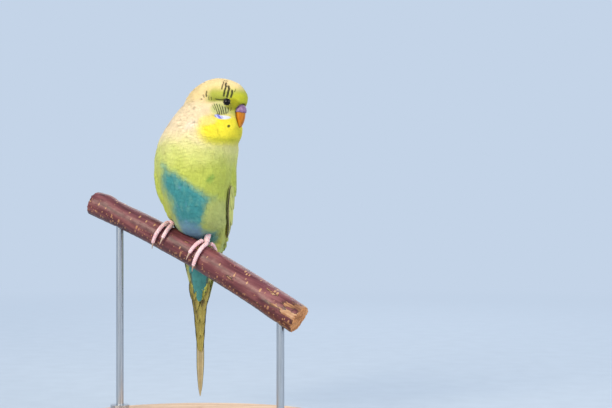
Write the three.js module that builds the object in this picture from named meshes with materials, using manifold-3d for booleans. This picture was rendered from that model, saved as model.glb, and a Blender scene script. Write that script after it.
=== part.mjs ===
// A budgerigar, life size, perched on a short cut branch that a plain display stand holds up.
// Millimetres, +Z up. The origin is the centre of the stand base's underside.
// +X is the viewer's right and -Y is towards the viewer, whom the bird's breast faces.

import * as THREE from 'three';
import { mergeVertices } from 'three/addons/utils/BufferGeometryUtils.js';
import Module from 'manifold-3d';

const wasm = await Module();
wasm.setup();

// Driving dimensions of the stand
const baseLength = 128;
const baseDepth = 88;
const baseThickness = 8;
const baseEdge = 1.2;
const rodRadius = 2;
const rodSink = 5;
const collarRadius = 5;
const collarHeight = 3;
const rodPlaces = [{ name: 'left', x: -44 }, { name: 'right', x: 42 }];
const gap = 0.3;

// Driving dimensions of the hanging tail, which set the height of the perch
const tailDrop = 78.5;
const tailClearance = 4;
const perchHeight = baseThickness + tailClearance + tailDrop;
const perchSetback = -6;

// Driving dimensions of the perch, a slightly bent branch that falls to the viewer's right
const perchLeft = -59;
const perchRight = 51.6;
const perchFall = 0.545;
const perchBend = 0.0012;
const perchNear = 0.404;
const perchRadius = 7.25;
const perchTaper = 0.012;
const perchSides = 16;
const perchKnots = [
  { x: -52, angle: 12, height: 1.6, spread: 4.5 },
  { x: 8.5, angle: 38, height: 1.1, spread: 3.6 },
  { x: 38, angle: 96, height: 1.3, spread: 3.4 },
];

// Driving dimensions of the trunk of the body: height above the perch's axis, sideways centre,
// half width, and how far the breast (front) and the back reach
const trunk = [
  { z: -16.5, x: -1.9, half: 5.0, front: 15.6, back: 26.0 },
  { z: -10.5, x: -1.5, half: 6.6, front: 13.4, back: 27.6 },
  { z: -2.5, x: -0.6, half: 8.7, front: 11.0, back: 28.2 },
  { z: 4.5, x: 0.0, half: 10.4, front: 9.6, back: 28.0 },
  { z: 9.5, x: 0.2, half: 12.0, front: 2.0, back: 27.5 },
  { z: 14.5, x: 0.2, half: 13.2, front: -8.0, back: 26.8 },
  { z: 19.5, x: 0.0, half: 14.2, front: -13.2, back: 26.0 },
  { z: 27.5, x: -1.3, half: 16.2, front: -17.6, back: 24.6 },
  { z: 37.5, x: -2.4, half: 18.5, front: -20.4, back: 22.8 },
  { z: 47.5, x: -2.7, half: 19.6, front: -21.2, back: 20.8 },
  { z: 57.5, x: -1.3, half: 20.4, front: -20.6, back: 17.8 },
  { z: 65.5, x: 0.8, half: 19.0, front: -18.6, back: 14.6 },
  { z: 73.5, x: 3.2, half: 16.2, front: -16.0, back: 11.0 },
  { z: 79.5, x: 5.6, half: 13.2, front: -13.2, back: 7.8 },
  { z: 85.0, x: 8.0, half: 8.0, front: -9.0, back: 3.0 },
];
const trunkRings = 26;
const trunkSides = 26;
const widestBehindMiddle = 1.5;
const fullness = 2.25;

// Driving dimensions of the head, in its own frame: forward (f), to the bird's right (r) and up
const headTurn = 66;
const headCentre = new THREE.Vector3(10.7, -5, 79.5);
const skull = [
  { z: -24, middle: -2, half: 6.0, front: 5.0, back: -8.0 },
  { z: -20, middle: -2, half: 10.6, front: 9.2, back: -13.0 },
  { z: -15, middle: -2, half: 12.3, front: 11.4, back: -17.5 },
  { z: -10, middle: -2, half: 12.0, front: 10.8, back: -19.5 },
  { z: -5, middle: -1, half: 11.2, front: 11.2, back: -20.6 },
  { z: -1, middle: 0, half: 10.6, front: 14.2, back: -20.8 },
  { z: 3, middle: 0, half: 10.0, front: 15.1, back: -19.0 },
  { z: 7, middle: 0, half: 9.0, front: 13.4, back: -16.0 },
  { z: 10.5, middle: 0, half: 7.2, front: 10.4, back: -11.6 },
  { z: 12.8, middle: -0.5, half: 4.4, front: 5.4, back: -6.8 },
  { z: 13.7, middle: -1, half: 1.2, front: 1.0, back: -2.6 },
];
const skullRings = 20;
const skullSides = 28;
const headCut = { back: -3, front: -21, reach: 22 };
const neckCut = { back: 61, front: 52, reach: 30 };

// Driving dimensions of the eyes, the cere and the bill, in the head's frame
const eyeRadius = 2.9;
const eyeProud = 0.75;
const eyePlace = new THREE.Vector3(8.2, 8.65, 0.1);
const eyeAxis = new THREE.Vector3(0.42, 0.9, 0.05).normalize();
const lidRing = { radius: 2.35, wire: 0.5 };
const cereSize = { forward: 3.2, half: 3.7, height: 2.9 };
const cerePlace = new THREE.Vector3(11.6, 0, -3.1);
const nostril = { side: 1.7, radius: 0.5 };
const billHook = { start: -5.4, drop: 7.6, forward: 14.2, tuck: 2.6, half: 3.1, depth: 5.0 };
const lowerBill = { forward: 10.2, z: -12.4, half: 2.1, length: 3.4, height: 2.2 };

// Driving dimensions of the legs and feet
const legRadius = 1.5;
const padRadius = 1.7;
const toeRadius = 1.15;
const clawRadius = 0.62;
const clawLength = 4.6;
const feet = [
  { side: 'right', outward: -1, x: -18.6, hip: new THREE.Vector3(-8, 4, 27) },
  { side: 'left', outward: 1, x: -0.4, hip: new THREE.Vector3(6, 4, 21) },
];
// Each toe: how far along the perch it stands outward at its root and at its end, and the angles
// round the perch where it starts and ends, from the top (0) to the viewer's side (positive)
const toes = [
  { number: 1, root: -1.3, end: -2.6, from: -18, to: -66 },
  { number: 2, root: -1.25, end: -1.9, from: 12, to: 74 },
  { number: 3, root: 1.25, end: 1.9, from: 12, to: 108 },
  { number: 4, root: 1.6, end: 4.8, from: -14, to: -92 },
];

// Driving dimensions of the wings: height, and the angles from the back to the wing's outer and
// inner edge
const wing = [
  { z: 57, outer: 84, inner: 62 },
  { z: 53, outer: 92, inner: 42 },
  { z: 46, outer: 97, inner: 28 },
  { z: 36, outer: 101, inner: 19 },
  { z: 24, outer: 101, inner: 13 },
  { z: 12, outer: 94, inner: 8 },
  { z: 0, outer: 84, inner: 5 },
  { z: -12, outer: 72, inner: 4 },
  { z: -22, outer: 54, inner: 4 },
  { z: -28, outer: 34, inner: 4 },
];
// The arm under the coverts, the core of the wing: its thickness down the wing
const arm = [
  { z: 15.5, thick: 0.4 },
  { z: 20, thick: 1.2 },
  { z: 30, thick: 1.8 },
  { z: 44, thick: 1.5 },
  { z: 53, thick: 1.1 },
  { z: 57, thick: 0.8 },
];
const armRings = 7;
const armArc = 4;
const armSink = 1.8;
// Feathers in rows, from the outer edge of the wing inwards: where their roots are, the tips of the
// outermost and innermost, the longest tip, and how far a covert's tip stands over the arm
const primaries = {
  count: 4, root: 24, outerTip: -11, innerTip: -15, longest: -29, thick: 0.55, steps: 5, rounded: 0.18,
};
const secondaries = {
  count: 3, root: 27, outerTip: 0, innerTip: 9, longest: 0, thick: 0.55, steps: 4, rounded: 0.24,
};
const coverts = [
  { count: 5, root: 31, outerTip: 16.5, innerTip: 20, thick: 0.95, rise: 0.35, steps: 3, rounded: 0.4 },
  { count: 4, root: 44, outerTip: 28, innerTip: 31, thick: 0.95, rise: 0.15, steps: 3, rounded: 0.4 },
];
const flightLift = 1.2;
const flightSpan = { outer: 0.05, middle: 0.47, spread: 0.43, inner: 0.95 };
const flightTilt = 0.62;
const flightOverlap = 0.72;
const covertSink = 0.4;
const covertTilt = 0.36;
const covertOverlap = 0.64;
// The lower trunk as the wings wrap it: it runs on down over the tail's root
const rump = [
  { z: -30, x: -1.6, half: 4.2, front: 22.0, back: 31.2 },
  { z: -20, x: -1.6, half: 5.4, front: 19.0, back: 30.6 },
  { z: -10.5, x: -1.3, half: 7.2, front: 15.0, back: 29.8 },
  { z: -2.5, x: -0.7, half: 9.0, front: 11.0, back: 29.0 },
];

// Driving dimensions of the tail
const tailRoot = new THREE.Vector3(-1.6, 21.6, -16.8);
const tailSway = -0.022;
const tailTilt = 20;
const tailForm = [
  { s: 0, wide: 10.5, thick: 4.6 },
  { s: 9, wide: 7.8, thick: 3.6 },
  { s: 22, wide: 5.6, thick: 2.8 },
  { s: 40, wide: 4.4, thick: 2.2 },
  { s: 60, wide: 3.9, thick: 1.6 },
  { s: 65.7, wide: 3.0, thick: 1.2 },
];
// The pairs of tail feathers, from the middle one outwards: where each ends, how wide it is, and how
// much further the right one reaches than the left
const rectrices = [
  { tip: 65.7, wide: 3.3, uneven: -2.6, steps: 6 },
  { tip: 38.5, wide: 4.0, uneven: 0.6, steps: 4 },
  { tip: 30.0, wide: 4.4, uneven: -0.8, steps: 4 },
  { tip: 21.5, wide: 4.4, uneven: 0.7, steps: 4 },
  { tip: 13.5, wide: 4.2, uneven: -0.6, steps: 3 },
  { tip: 7.0, wide: 4.0, uneven: 0.4, steps: 3 },
];
const rectrixThick = 0.62;
const rectrixStep = 0.42;
const rectrixRoof = 0.15;
const tailCore = { from: -7, to: 3.4, wide: 6.4, thick: 2.2, middle: -0.4 };
// The coverts over and under the tail's root: a short core and the feathers on it, each with its
// tip, its place across, its width and its height over the core
const undertail = {
  face: -1,
  from: -6,
  core: { to: 3.5, wide: 7.4, thick: 2.4 },
  feathers: [
    { tip: 5.5, across: -2.3, wide: 3.8, out: 0.15 },
    { tip: 6.5, across: 2.3, wide: 3.8, out: 0.3 },
    { tip: 9.5, across: -1.5, wide: 4.4, out: 0.65 },
    { tip: 10.5, across: 1.6, wide: 4.2, out: 0.85 },
    { tip: 13.5, across: 0.3, wide: 3.8, out: 1.25 },
  ],
};
const uppertail = {
  face: 1,
  from: -6,
  core: { to: 6, wide: 7.8, thick: 2.0 },
  feathers: [
    { tip: 10, across: -2.4, wide: 4.2, out: 0.15 },
    { tip: 11.5, across: 2.4, wide: 4.2, out: 0.3 },
    { tip: 16, across: -1.1, wide: 4.2, out: 0.65 },
    { tip: 20, across: 0.7, wide: 3.9, out: 0.9 },
  ],
};

const bird = new THREE.Group();
bird.position.set(0, perchSetback, perchHeight);
const model = new THREE.Group();
model.add(bird);

/** A smooth curve through rows of named values, read at any place along their key. */
function profile(rows, key) {
  const names = Object.keys(rows[0]).filter((name) => name !== key);
  const slope = (i, name) => {
    const before = rows[Math.max(i - 1, 0)];
    const after = rows[Math.min(i + 1, rows.length - 1)];
    return (after[name] - before[name]) / (after[key] - before[key]);
  };
  return (place) => {
    let i = 0;
    while (i < rows.length - 2 && place > rows[i + 1][key]) {
      i += 1;
    }
    const step = rows[i + 1][key] - rows[i][key];
    const t = THREE.MathUtils.clamp((place - rows[i][key]) / step, 0, 1);
    const values = {};
    for (const name of names) {
      const a = rows[i][name];
      const b = rows[i + 1][name];
      const rise = 3 * (b - a) - step * (2 * slope(i, name) + slope(i + 1, name));
      const fall = 2 * (a - b) + step * (slope(i, name) + slope(i + 1, name));
      values[name] = a + t * (step * slope(i, name) + t * (rise + t * fall));
    }
    return values;
  };
}

/**
 * A closed body through rings of points, with a fan of faces at each end. On a thin plate the second
 * half of each ring is the under face, and its faces are split along the same lines as the upper ones.
 */
function loft(rings, plate = false) {
  const count = rings[0].length;
  const points = rings.flat();
  const index = [];
  for (let i = 0; i + 1 < rings.length; i += 1) {
    for (let j = 0; j < count; j += 1) {
      const a = i * count + j;
      const b = i * count + (j + 1) % count;
      if (plate && j >= count / 2) {
        index.push(a, b, a + count, b, b + count, a + count);
      } else {
        index.push(a, b, b + count, a, b + count, a + count);
      }
    }
  }
  const ends = [
    { ring: rings[0], start: 0, turn: 1 },
    { ring: rings.at(-1), start: (rings.length - 1) * count, turn: 0 },
  ];
  for (const { ring, start, turn } of ends) {
    const middle = ring.reduce((sum, p) => sum.add(p), new THREE.Vector3()).divideScalar(count);
    const hub = points.push(middle) - 1;
    for (let j = 0; j < count; j += 1) {
      const a = start + j;
      const b = start + (j + 1) % count;
      index.push(hub, turn ? b : a, turn ? a : b);
    }
  }
  const geometry = new THREE.BufferGeometry().setFromPoints(points);
  geometry.setIndex(index);
  return outward(geometry);
}

/** Turns the faces round where they point inwards. */
function outward(geometry) {
  const place = geometry.getAttribute('position');
  const index = geometry.getIndex();
  const corner = [0, 1, 2].map(() => new THREE.Vector3());
  let volume = 0;
  for (let i = 0; i < index.count; i += 3) {
    corner.forEach((v, k) => v.fromBufferAttribute(place, index.getX(i + k)));
    volume += corner[0].dot(corner[1].cross(corner[2]));
  }
  if (volume < 0) {
    for (let i = 0; i < index.count; i += 3) {
      const kept = index.getX(i + 1);
      index.setX(i + 1, index.getX(i + 2));
      index.setX(i + 2, kept);
    }
  }
  return geometry;
}

/** A closed geometry as a solid that can be joined and cut. */
function solid(geometry) {
  const bare = geometry.clone();
  bare.deleteAttribute('normal');
  bare.deleteAttribute('uv');
  const merged = mergeVertices(bare, 1e-4);
  const vertProperties = new Float32Array(merged.getAttribute('position').array);
  const triVerts = new Uint32Array(merged.getIndex().array);
  return new wasm.Manifold(new wasm.Mesh({ numProp: 3, vertProperties, triVerts }));
}

/** A solid's largest closed surface as a geometry. */
function geometryOf(body) {
  const largest = body.decompose().sort((a, b) => b.volume() - a.volume())[0];
  const { numProp, vertProperties, triVerts } = largest.getMesh();
  const geometry = new THREE.BufferGeometry();
  const positions = new Float32Array(vertProperties.length / numProp * 3);
  for (let i = 0; i * numProp < vertProperties.length; i += 1) {
    positions.set(vertProperties.subarray(i * numProp, i * numProp + 3), i * 3);
  }
  geometry.setAttribute('position', new THREE.BufferAttribute(positions, 3));
  geometry.setIndex([...triVerts]);
  return geometry;
}

/** Adds one named piece with its own finish. */
function piece(parent, name, body, colour, roughness = 0.8, metalness = 0) {
  const geometry = body.isBufferGeometry ? body : geometryOf(body);
  const material = new THREE.MeshStandardMaterial({ color: colour, roughness, metalness });
  const mesh = new THREE.Mesh(geometry, material);
  mesh.name = name;
  parent.add(mesh);
}

/** A round tapered limb along a curve; radius is read from 0 at the start to 1 at the end. */
function limb(curve, radius, steps, sides) {
  const rings = [];
  const frames = curve.computeFrenetFrames(steps, false);
  for (let i = 0; i <= steps; i += 1) {
    const centre = curve.getPointAt(i / steps);
    const ring = [];
    for (let j = 0; j < sides; j += 1) {
      const angle = 2 * Math.PI * j / sides;
      const spoke = frames.normals[i].clone().multiplyScalar(Math.cos(angle));
      spoke.addScaledVector(frames.binormals[i], Math.sin(angle));
      ring.push(centre.clone().addScaledVector(spoke, radius(i / steps)));
    }
    rings.push(ring);
  }
  return loft(rings);
}

/** An axis-aligned box or a sphere as a solid, moved into place by a matrix. */
const placed = (geometry, matrix) => solid(geometry.applyMatrix4(matrix));
const movedTo = (v) => new THREE.Matrix4().makeTranslation(v.x, v.y, v.z);

// The perch

/** The perch's axis, in the bird's frame, at a sideways place. */
function perchAxis(x) {
  return new THREE.Vector3(x, -perchNear * x, -perchFall * x - perchBend * x * x);
}

/** The perch's direction, upper side and viewer's side at a sideways place. */
function perchFrame(x) {
  const along = perchAxis(x + 0.5).sub(perchAxis(x - 0.5)).normalize();
  const up = new THREE.Vector3(0, 0, 1).addScaledVector(along, -along.z).normalize();
  const front = new THREE.Vector3().crossVectors(along, up).normalize();
  return { along, up, front };
}

/** A point round the perch: angle 0 is its top, 90 faces the viewer. */
function roundPerch(x, angle, out) {
  const { up, front } = perchFrame(x);
  const turn = THREE.MathUtils.degToRad(angle);
  const radius = perchRadius + perchTaper * x + out;
  const outwards = up.clone().multiplyScalar(Math.cos(turn)).addScaledVector(front, Math.sin(turn));
  return perchAxis(x).addScaledVector(outwards, radius);
}

/** How far the knots lift the bark at a place on the perch. */
function knotLift(x, angle) {
  let lift = 0;
  for (const knot of perchKnots) {
    const around = THREE.MathUtils.degToRad(Math.abs((angle - knot.angle + 540) % 360 - 180)) * perchRadius;
    const distance = Math.hypot(x - knot.x, around) / knot.spread;
    lift += knot.height * Math.exp(-distance * distance);
  }
  return lift;
}

/** The branch as a closed body, grown by a clearance where asked. */
function branch(grow, steps = 28) {
  const rings = [];
  for (let i = 0; i <= steps; i += 1) {
    const x = THREE.MathUtils.lerp(perchLeft, perchRight, i / steps);
    const ring = [];
    for (let j = 0; j < perchSides; j += 1) {
      const angle = 360 * j / perchSides;
      ring.push(roundPerch(x, angle, grow + knotLift(x, angle)));
    }
    rings.push(ring);
  }
  return loft(rings);
}

/** A rod's place under the perch: where its axis meets the perch's axis. */
function rodTop(x) {
  return perchAxis(x);
}

/** An upright round bar between two heights, with sides fine enough to look round. */
function bar(x, y, low, high, radius) {
  const cylinder = new THREE.CylinderGeometry(radius, radius, high - low, 16);
  cylinder.rotateX(Math.PI / 2);
  return placed(cylinder, movedTo({ x, y, z: (low + high) / 2 }));
}

function makePerch() {
  let body = solid(branch(0));
  for (const { x } of rodPlaces) {
    const top = rodTop(x);
    body = body.subtract(bar(top.x, top.y, top.z - 20, top.z + gap, rodRadius + gap));
  }
  piece(bird, 'perch', body, 0x7c4a48, 0.75);
}

// The display stand

function makeStand() {
  const half = { x: baseLength / 2 - baseEdge, y: baseDepth / 2 - baseEdge };
  const outline = new THREE.Shape().absellipse(0, 0, half.x, half.y, 0, 2 * Math.PI);
  const slab = new THREE.ExtrudeGeometry(outline, {
    depth: baseThickness - 2 * baseEdge,
    bevelThickness: baseEdge,
    bevelSize: baseEdge,
    bevelSegments: 1,
    curveSegments: 16,
  });
  let base = placed(slab, movedTo({ x: 0, y: 0, z: baseEdge }));
  for (const { name, x } of rodPlaces) {
    const top = rodTop(x).add(bird.position);
    const foot = baseThickness - rodSink;
    base = base.subtract(bar(top.x, top.y, foot, baseThickness + 1, rodRadius + gap));
    const rod = bar(top.x, top.y, foot + gap, top.z, rodRadius);
    const collar = bar(top.x, top.y, baseThickness + gap, baseThickness + gap + collarHeight, collarRadius);
    piece(model, `stand_rod_${name}`, rod.add(collar), 0x9a9da1, 0.3, 1);
  }
  piece(model, 'stand_base', base, 0xb98f63, 0.5);
}

// The trunk, neck and head

const trunkAt = profile(trunk, 'z');
const skullAt = profile(skull, 'z');
const wingBodyAt = profile([...rump, ...trunk.filter((row) => row.z > 0)], 'z');
const wingAt = profile([...wing].reverse(), 'z');
const armAt = profile(arm, 'z');

/** A point on an egg-shaped level section; angle 0 is its back, 90 the viewer's right side. */
function onSection(row, z, angle, grow) {
  const turn = THREE.MathUtils.degToRad(angle);
  const power = 2 / fullness;
  const across = Math.sign(Math.sin(turn)) * Math.abs(Math.sin(turn)) ** power;
  const along = Math.sign(Math.cos(turn)) * Math.abs(Math.cos(turn)) ** power;
  const middle = (row.front + row.back) / 2 + widestBehindMiddle;
  const reach = along > 0 ? row.back - middle : middle - row.front;
  return new THREE.Vector3(row.x + (row.half + grow) * across, middle + (reach + grow) * along, z);
}

/** The trunk and neck as one closed body. */
function trunkBody(grow, levels = trunkRings) {
  const low = trunk[0].z - grow;
  const high = trunk.at(-1).z;
  const rings = [];
  for (let i = 0; i <= levels; i += 1) {
    const z = THREE.MathUtils.lerp(low, high, i / levels);
    const ring = [];
    for (let j = 0; j < trunkSides; j += 1) {
      ring.push(onSection(trunkAt(z), z, 360 * j / trunkSides, grow));
    }
    rings.push(ring);
  }
  return loft(rings);
}

const headToBird = new THREE.Matrix4().makeTranslation(headCentre.x, headCentre.y, headCentre.z)
  .multiply(new THREE.Matrix4().makeRotationZ(THREE.MathUtils.degToRad(headTurn - 90)));

/** A point of the head's frame (forward, to the bird's right, up) in the bird's frame. */
function fromHead(f, r, z) {
  return new THREE.Vector3(f, -r, z).applyMatrix4(headToBird);
}

/** The head's feathered outline as one closed body. */
function skullBody() {
  const rings = [];
  for (let i = 0; i <= skullRings; i += 1) {
    const t = i / skullRings;
    const z = THREE.MathUtils.lerp(skull[0].z, skull.at(-1).z, 1 - (1 - t) ** 1.5);
    const row = skullAt(z);
    const ring = [];
    for (let j = 0; j < skullSides; j += 1) {
      const turn = 2 * Math.PI * j / skullSides;
      const reach = Math.cos(turn) > 0 ? row.front - row.middle : row.middle - row.back;
      ring.push(fromHead(row.middle + reach * Math.cos(turn), row.half * Math.sin(turn), z));
    }
    rings.push(ring);
  }
  return loft(rings);
}

/** Half of space as a big block above a plane through three points. */
function above(a, b, c) {
  const across = new THREE.Vector3().subVectors(b, a).normalize();
  const up = new THREE.Vector3().crossVectors(across, new THREE.Vector3().subVectors(c, a)).normalize();
  const side = new THREE.Vector3().crossVectors(up, across);
  const size = 300;
  const block = new THREE.BoxGeometry(size, size, size).translate(0, 0, size / 2);
  const turn = new THREE.Matrix4().makeBasis(across, side, up).setPosition(a);
  return { block: placed(block, turn), up };
}

/** Parts a body by a plane through three points, leaving the thin gap of touching pieces. */
function part(body, a, b, c) {
  const { block, up } = above(a, b, c);
  const raised = block.translate([up.x * gap, up.y * gap, up.z * gap]);
  return [body.intersect(raised), body.subtract(block)];
}

function sphereAt(place, radius, across = 16) {
  return placed(new THREE.SphereGeometry(radius, across, across / 2), movedTo(place));
}

function makeFlesh() {
  const eyes = [-1, 1].map((side) => {
    const centre = eyePlace.clone().addScaledVector(eyeAxis, eyeProud - eyeRadius);
    return fromHead(centre.x, side * centre.y, centre.z);
  });
  const flesh = solid(skullBody()).add(solid(trunkBody(0)));
  const wholeHead = [-1, 1].reduce((body, side) => body.add(lid(side)), flesh);
  const whole = wholeHead.subtract(solid(branch(gap))).subtract(feetRoom());
  const [head, below] = part(
    whole,
    fromHead(-headCut.reach, 0, headCut.back),
    fromHead(headCut.reach, 0, headCut.front),
    fromHead(-headCut.reach, -headCut.reach, headCut.back),
  );
  const [neck, torso] = part(
    below,
    new THREE.Vector3(0, neckCut.reach, neckCut.back),
    new THREE.Vector3(0, -neckCut.reach, neckCut.front),
    new THREE.Vector3(neckCut.reach, neckCut.reach, neckCut.back),
  );
  const sockets = eyes.map((eye) => sphereAt(eye, eyeRadius + gap));
  const bills = [billBody(gap), cereBody(gap), lowerBillBody(gap)];
  const bareHead = [...sockets, ...bills].reduce((body, cut) => body.subtract(cut), head);
  piece(bird, 'head', bareHead, 0xeedc72, 0.9);
  piece(bird, 'neck', neck, 0xe9e08a, 0.9);
  piece(bird, 'torso', torso, 0xc3d35f, 0.9);
  ['left', 'right'].forEach((side, i) => {
    piece(bird, `${side}_eye`, sphereAt(eyes[i], eyeRadius), 0x14100f, 0.08);
  });
}

/** The rim of lids round one eye, standing a little proud of the head. */
function lid(side) {
  const ring = new THREE.TorusGeometry(lidRing.radius, lidRing.wire, 5, 16);
  const axis = new THREE.Vector3(eyeAxis.x, -side * eyeAxis.y, eyeAxis.z);
  ring.applyQuaternion(new THREE.Quaternion().setFromUnitVectors(new THREE.Vector3(0, 0, 1), axis));
  return placed(ring.translate(eyePlace.x, -side * eyePlace.y, eyePlace.z), headToBird);
}

// The cere and the bill

function cereBody(grow) {
  const ball = new THREE.SphereGeometry(1, 16, 10);
  ball.scale(cereSize.forward + grow, cereSize.half + grow, cereSize.height + grow);
  return placed(ball.translate(cerePlace.x, 0, cerePlace.z), headToBird);
}

/** The hooked upper bill: sections that turn from forward to straight down and taper to the tip. */
function billBody(grow) {
  const steps = 9;
  const sides = 14;
  const rings = [];
  for (let i = 0; i <= steps; i += 1) {
    const t = i / steps;
    const turn = t * Math.PI / 2;
    const front = billHook.forward - billHook.tuck * t * t * t + grow;
    const depth = billHook.depth * Math.cos(0.92 * turn) + 0.25 + 2 * grow;
    const half = billHook.half * Math.sqrt(Math.max(1 - t * t, 0)) * (1 - 0.25 * t) + 0.25 + grow;
    const z = billHook.start + 1.6 - (billHook.drop + 1.6 + grow) * t;
    const ring = [];
    for (let j = 0; j < sides; j += 1) {
      const angle = 2 * Math.PI * j / sides;
      ring.push(fromHead(front - depth / 2 + depth / 2 * Math.cos(angle), half * Math.sin(angle), z));
    }
    rings.push(ring);
  }
  return solid(loft(rings));
}

function lowerBillBody(grow) {
  const ball = new THREE.SphereGeometry(1, 14, 8);
  ball.scale(lowerBill.length / 2 + grow, lowerBill.half + grow, lowerBill.height / 2 + grow);
  const back = lowerBill.forward - lowerBill.length / 2;
  return placed(ball.translate(back, 0, lowerBill.z), headToBird);
}

function makeBill() {
  let cere = cereBody(0).subtract(billBody(gap));
  for (const side of [-1, 1]) {
    const hole = fromHead(cerePlace.x + cereSize.forward - 0.5, side * nostril.side, cerePlace.z + 0.9);
    cere = cere.subtract(sphereAt(hole, nostril.radius, 8));
  }
  piece(bird, 'cere', cere, 0xb79ad0, 0.55);
  piece(bird, 'upper_bill', billBody(0), 0xc9762a, 0.4);
  piece(bird, 'lower_bill', lowerBillBody(0).subtract(billBody(gap)), 0xb98a55, 0.45);
}

// The legs, feet and claws

/** The solids of one foot by name, each grown by a clearance. */
function footBodies({ side, outward: out, x, hip }, grow) {
  const bodies = {};
  const pad = roundPerch(x, 0, padRadius + gap);
  const shin = new THREE.CatmullRomCurve3([hip, hip.clone().lerp(pad, 0.6), pad]);
  bodies[`${side}_leg`] = solid(limb(shin, (t) => legRadius * (1.5 - 0.5 * t) + grow, 6, 10));
  bodies[`${side}_foot`] = sphereAt(pad, padRadius + grow, 12);
  for (const toe of toes) {
    const points = [0, 0.25, 0.5, 0.75, 1].map((t) => roundPerch(
      x + out * THREE.MathUtils.lerp(toe.root, toe.end, t),
      THREE.MathUtils.lerp(toe.from, toe.to, t),
      toeRadius + gap,
    ));
    const digit = limb(new THREE.CatmullRomCurve3(points), (t) => toeRadius * (1 - 0.16 * t) + grow, 7, 8);
    bodies[`${side}_toe_${toe.number}`] = solid(digit);
    const way = Math.sign(toe.to);
    const skip = THREE.MathUtils.radToDeg((gap + 0.1) / perchRadius);
    const reach = THREE.MathUtils.radToDeg(clawLength / (perchRadius + 1.6));
    const claw = new THREE.CatmullRomCurve3([0, 0.5, 1].map((t) => roundPerch(
      x + out * toe.end,
      toe.to + way * (skip + reach * t),
      toeRadius + gap + 0.8 * t * t,
    )));
    bodies[`${side}_claw_${toe.number}`] = solid(limb(claw, (t) => clawRadius * (1 - 0.8 * t) + grow, 4, 6));
  }
  return bodies;
}

/** The room that the legs and feet need in the feathers over them. */
function feetRoom() {
  return feet.flatMap((foot) => Object.values(footBodies(foot, gap))).reduce((sum, body) => sum.add(body));
}

function makeFoot(foot) {
  const bodies = footBodies(foot, 0);
  const room = sphereAt(roundPerch(foot.x, 0, padRadius + gap), padRadius + gap, 12);
  const bark = solid(branch(gap));
  for (const [name, body] of Object.entries(bodies)) {
    const claw = name.includes('claw');
    const cut = name.endsWith('foot') || claw ? body : body.subtract(room);
    piece(bird, name, claw ? cut : cut.subtract(bark), claw ? 0xc9a58f : 0xe9bab6, claw ? 0.4 : 0.6);
  }
}

// The wings

/** A point of a wing's layer, wrapped round the trunk: angle from the back, lifted by a distance. */
function onWing(side, z, angle, lift) {
  return onSection(wingBodyAt(z), z, side * angle, lift);
}

/** A closed vane, round over the last share of its length; at(t, k, over) gives a point of it. */
function vane(at, thick, steps, rounded) {
  const rings = [];
  for (let i = 0; i <= steps; i += 1) {
    const intoTip = [0, 0.6, 1][Math.max(i - steps + 2, 0)];
    const t = i < steps - 1 ? (1 - rounded) * i / (steps - 2) : 1 - rounded * (1 - intoTip);
    const width = Math.max(Math.sqrt(1 - intoTip ** 2), 0.24);
    const over = [1, 0, -1].map((k) => at(t, k * width, thick));
    const under = [-1, 0, 1].map((k) => at(t, k * width, 0));
    rings.push([...over, ...under]);
  }
  return solid(loft(rings, true));
}

/** The wing's core, from the shoulder to where the flight feathers leave it. */
function armBody(side) {
  const rings = [];
  for (let i = 0; i <= armRings; i += 1) {
    const z = THREE.MathUtils.lerp(arm.at(-1).z, arm[0].z, i / armRings);
    const { outer, inner } = wingAt(z);
    const { thick } = armAt(z);
    const ring = [];
    for (let j = 0; j <= armArc; j += 1) {
      const t = j / armArc;
      const swell = 0.6 + 0.4 * Math.sin(Math.PI * t);
      ring.push(onWing(side, z, THREE.MathUtils.lerp(outer, inner, t), gap + thick * swell));
    }
    for (let j = armArc; j >= 0; j -= 1) {
      ring.push(onWing(side, z, THREE.MathUtils.lerp(outer, inner, j / armArc), gap - armSink));
    }
    rings.push(ring);
  }
  return loft(rings);
}

/** One vane on the wing, whose centre and half width are shares of the wing's width. */
function wingVane(side, { root, tip, thick, steps, rounded }, centre, halfSpan, lift, tilt) {
  const at = (t, k, over) => {
    const z = THREE.MathUtils.lerp(root, tip, t);
    const { outer, inner } = wingAt(z);
    const share = THREE.MathUtils.clamp(centre(z) - k * halfSpan(z), 0, 1);
    return onWing(side, z, THREE.MathUtils.lerp(outer, inner, share), lift(z) + tilt * k + over);
  };
  return vane(at, thick, steps, rounded);
}

/** How far down a row's feather reaches; the longest stands a third of the way in from the outside. */
function tipOf(row, i) {
  const t = i / (row.count - 1);
  const straight = THREE.MathUtils.lerp(row.outerTip, row.innerTip, t);
  return straight + ((row.longest ?? straight) - straight) * Math.sin(Math.PI * t ** 0.8) ** 0.8;
}

/** The flight feathers, shingled across the wing, each with its outer edge over its neighbour. */
function flightFeathers(side) {
  const split = (z) => flightSpan.middle + flightSpan.spread * THREE.MathUtils.smoothstep(14 - z, 0, 28);
  const rows = [
    { row: primaries, from: () => flightSpan.outer, to: split },
    { row: secondaries, from: (z) => split(z) + 0.11, to: () => flightSpan.inner },
  ];
  return rows.flatMap(({ row, from, to }) => Array.from({ length: row.count }, (_, i) => {
    const pitch = (z) => (to(z) - from(z)) / (row.count - 1);
    const centre = (z) => from(z) + pitch(z) * i;
    const half = (z) => flightOverlap * pitch(z);
    return wingVane(side, { ...row, tip: tipOf(row, i) }, centre, half, () => flightLift, flightTilt);
  }));
}

/** The two rows of larger wing coverts, raised on the arm. */
function wingCoverts(side) {
  return coverts.flatMap((row) => Array.from({ length: row.count }, (_, i) => {
    const lift = (z) => {
      const t = (row.root - z) / (row.root - tipOf(row, i));
      return armAt(z).thick - covertSink - covertSink * (1 - t) ** 3 + row.rise * t;
    };
    const centre = () => (i + 0.6) / (row.count + 0.1);
    const half = () => covertOverlap / row.count;
    return wingVane(side, { ...row, tip: tipOf(row, i) }, centre, half, lift, covertTilt);
  }));
}

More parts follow.
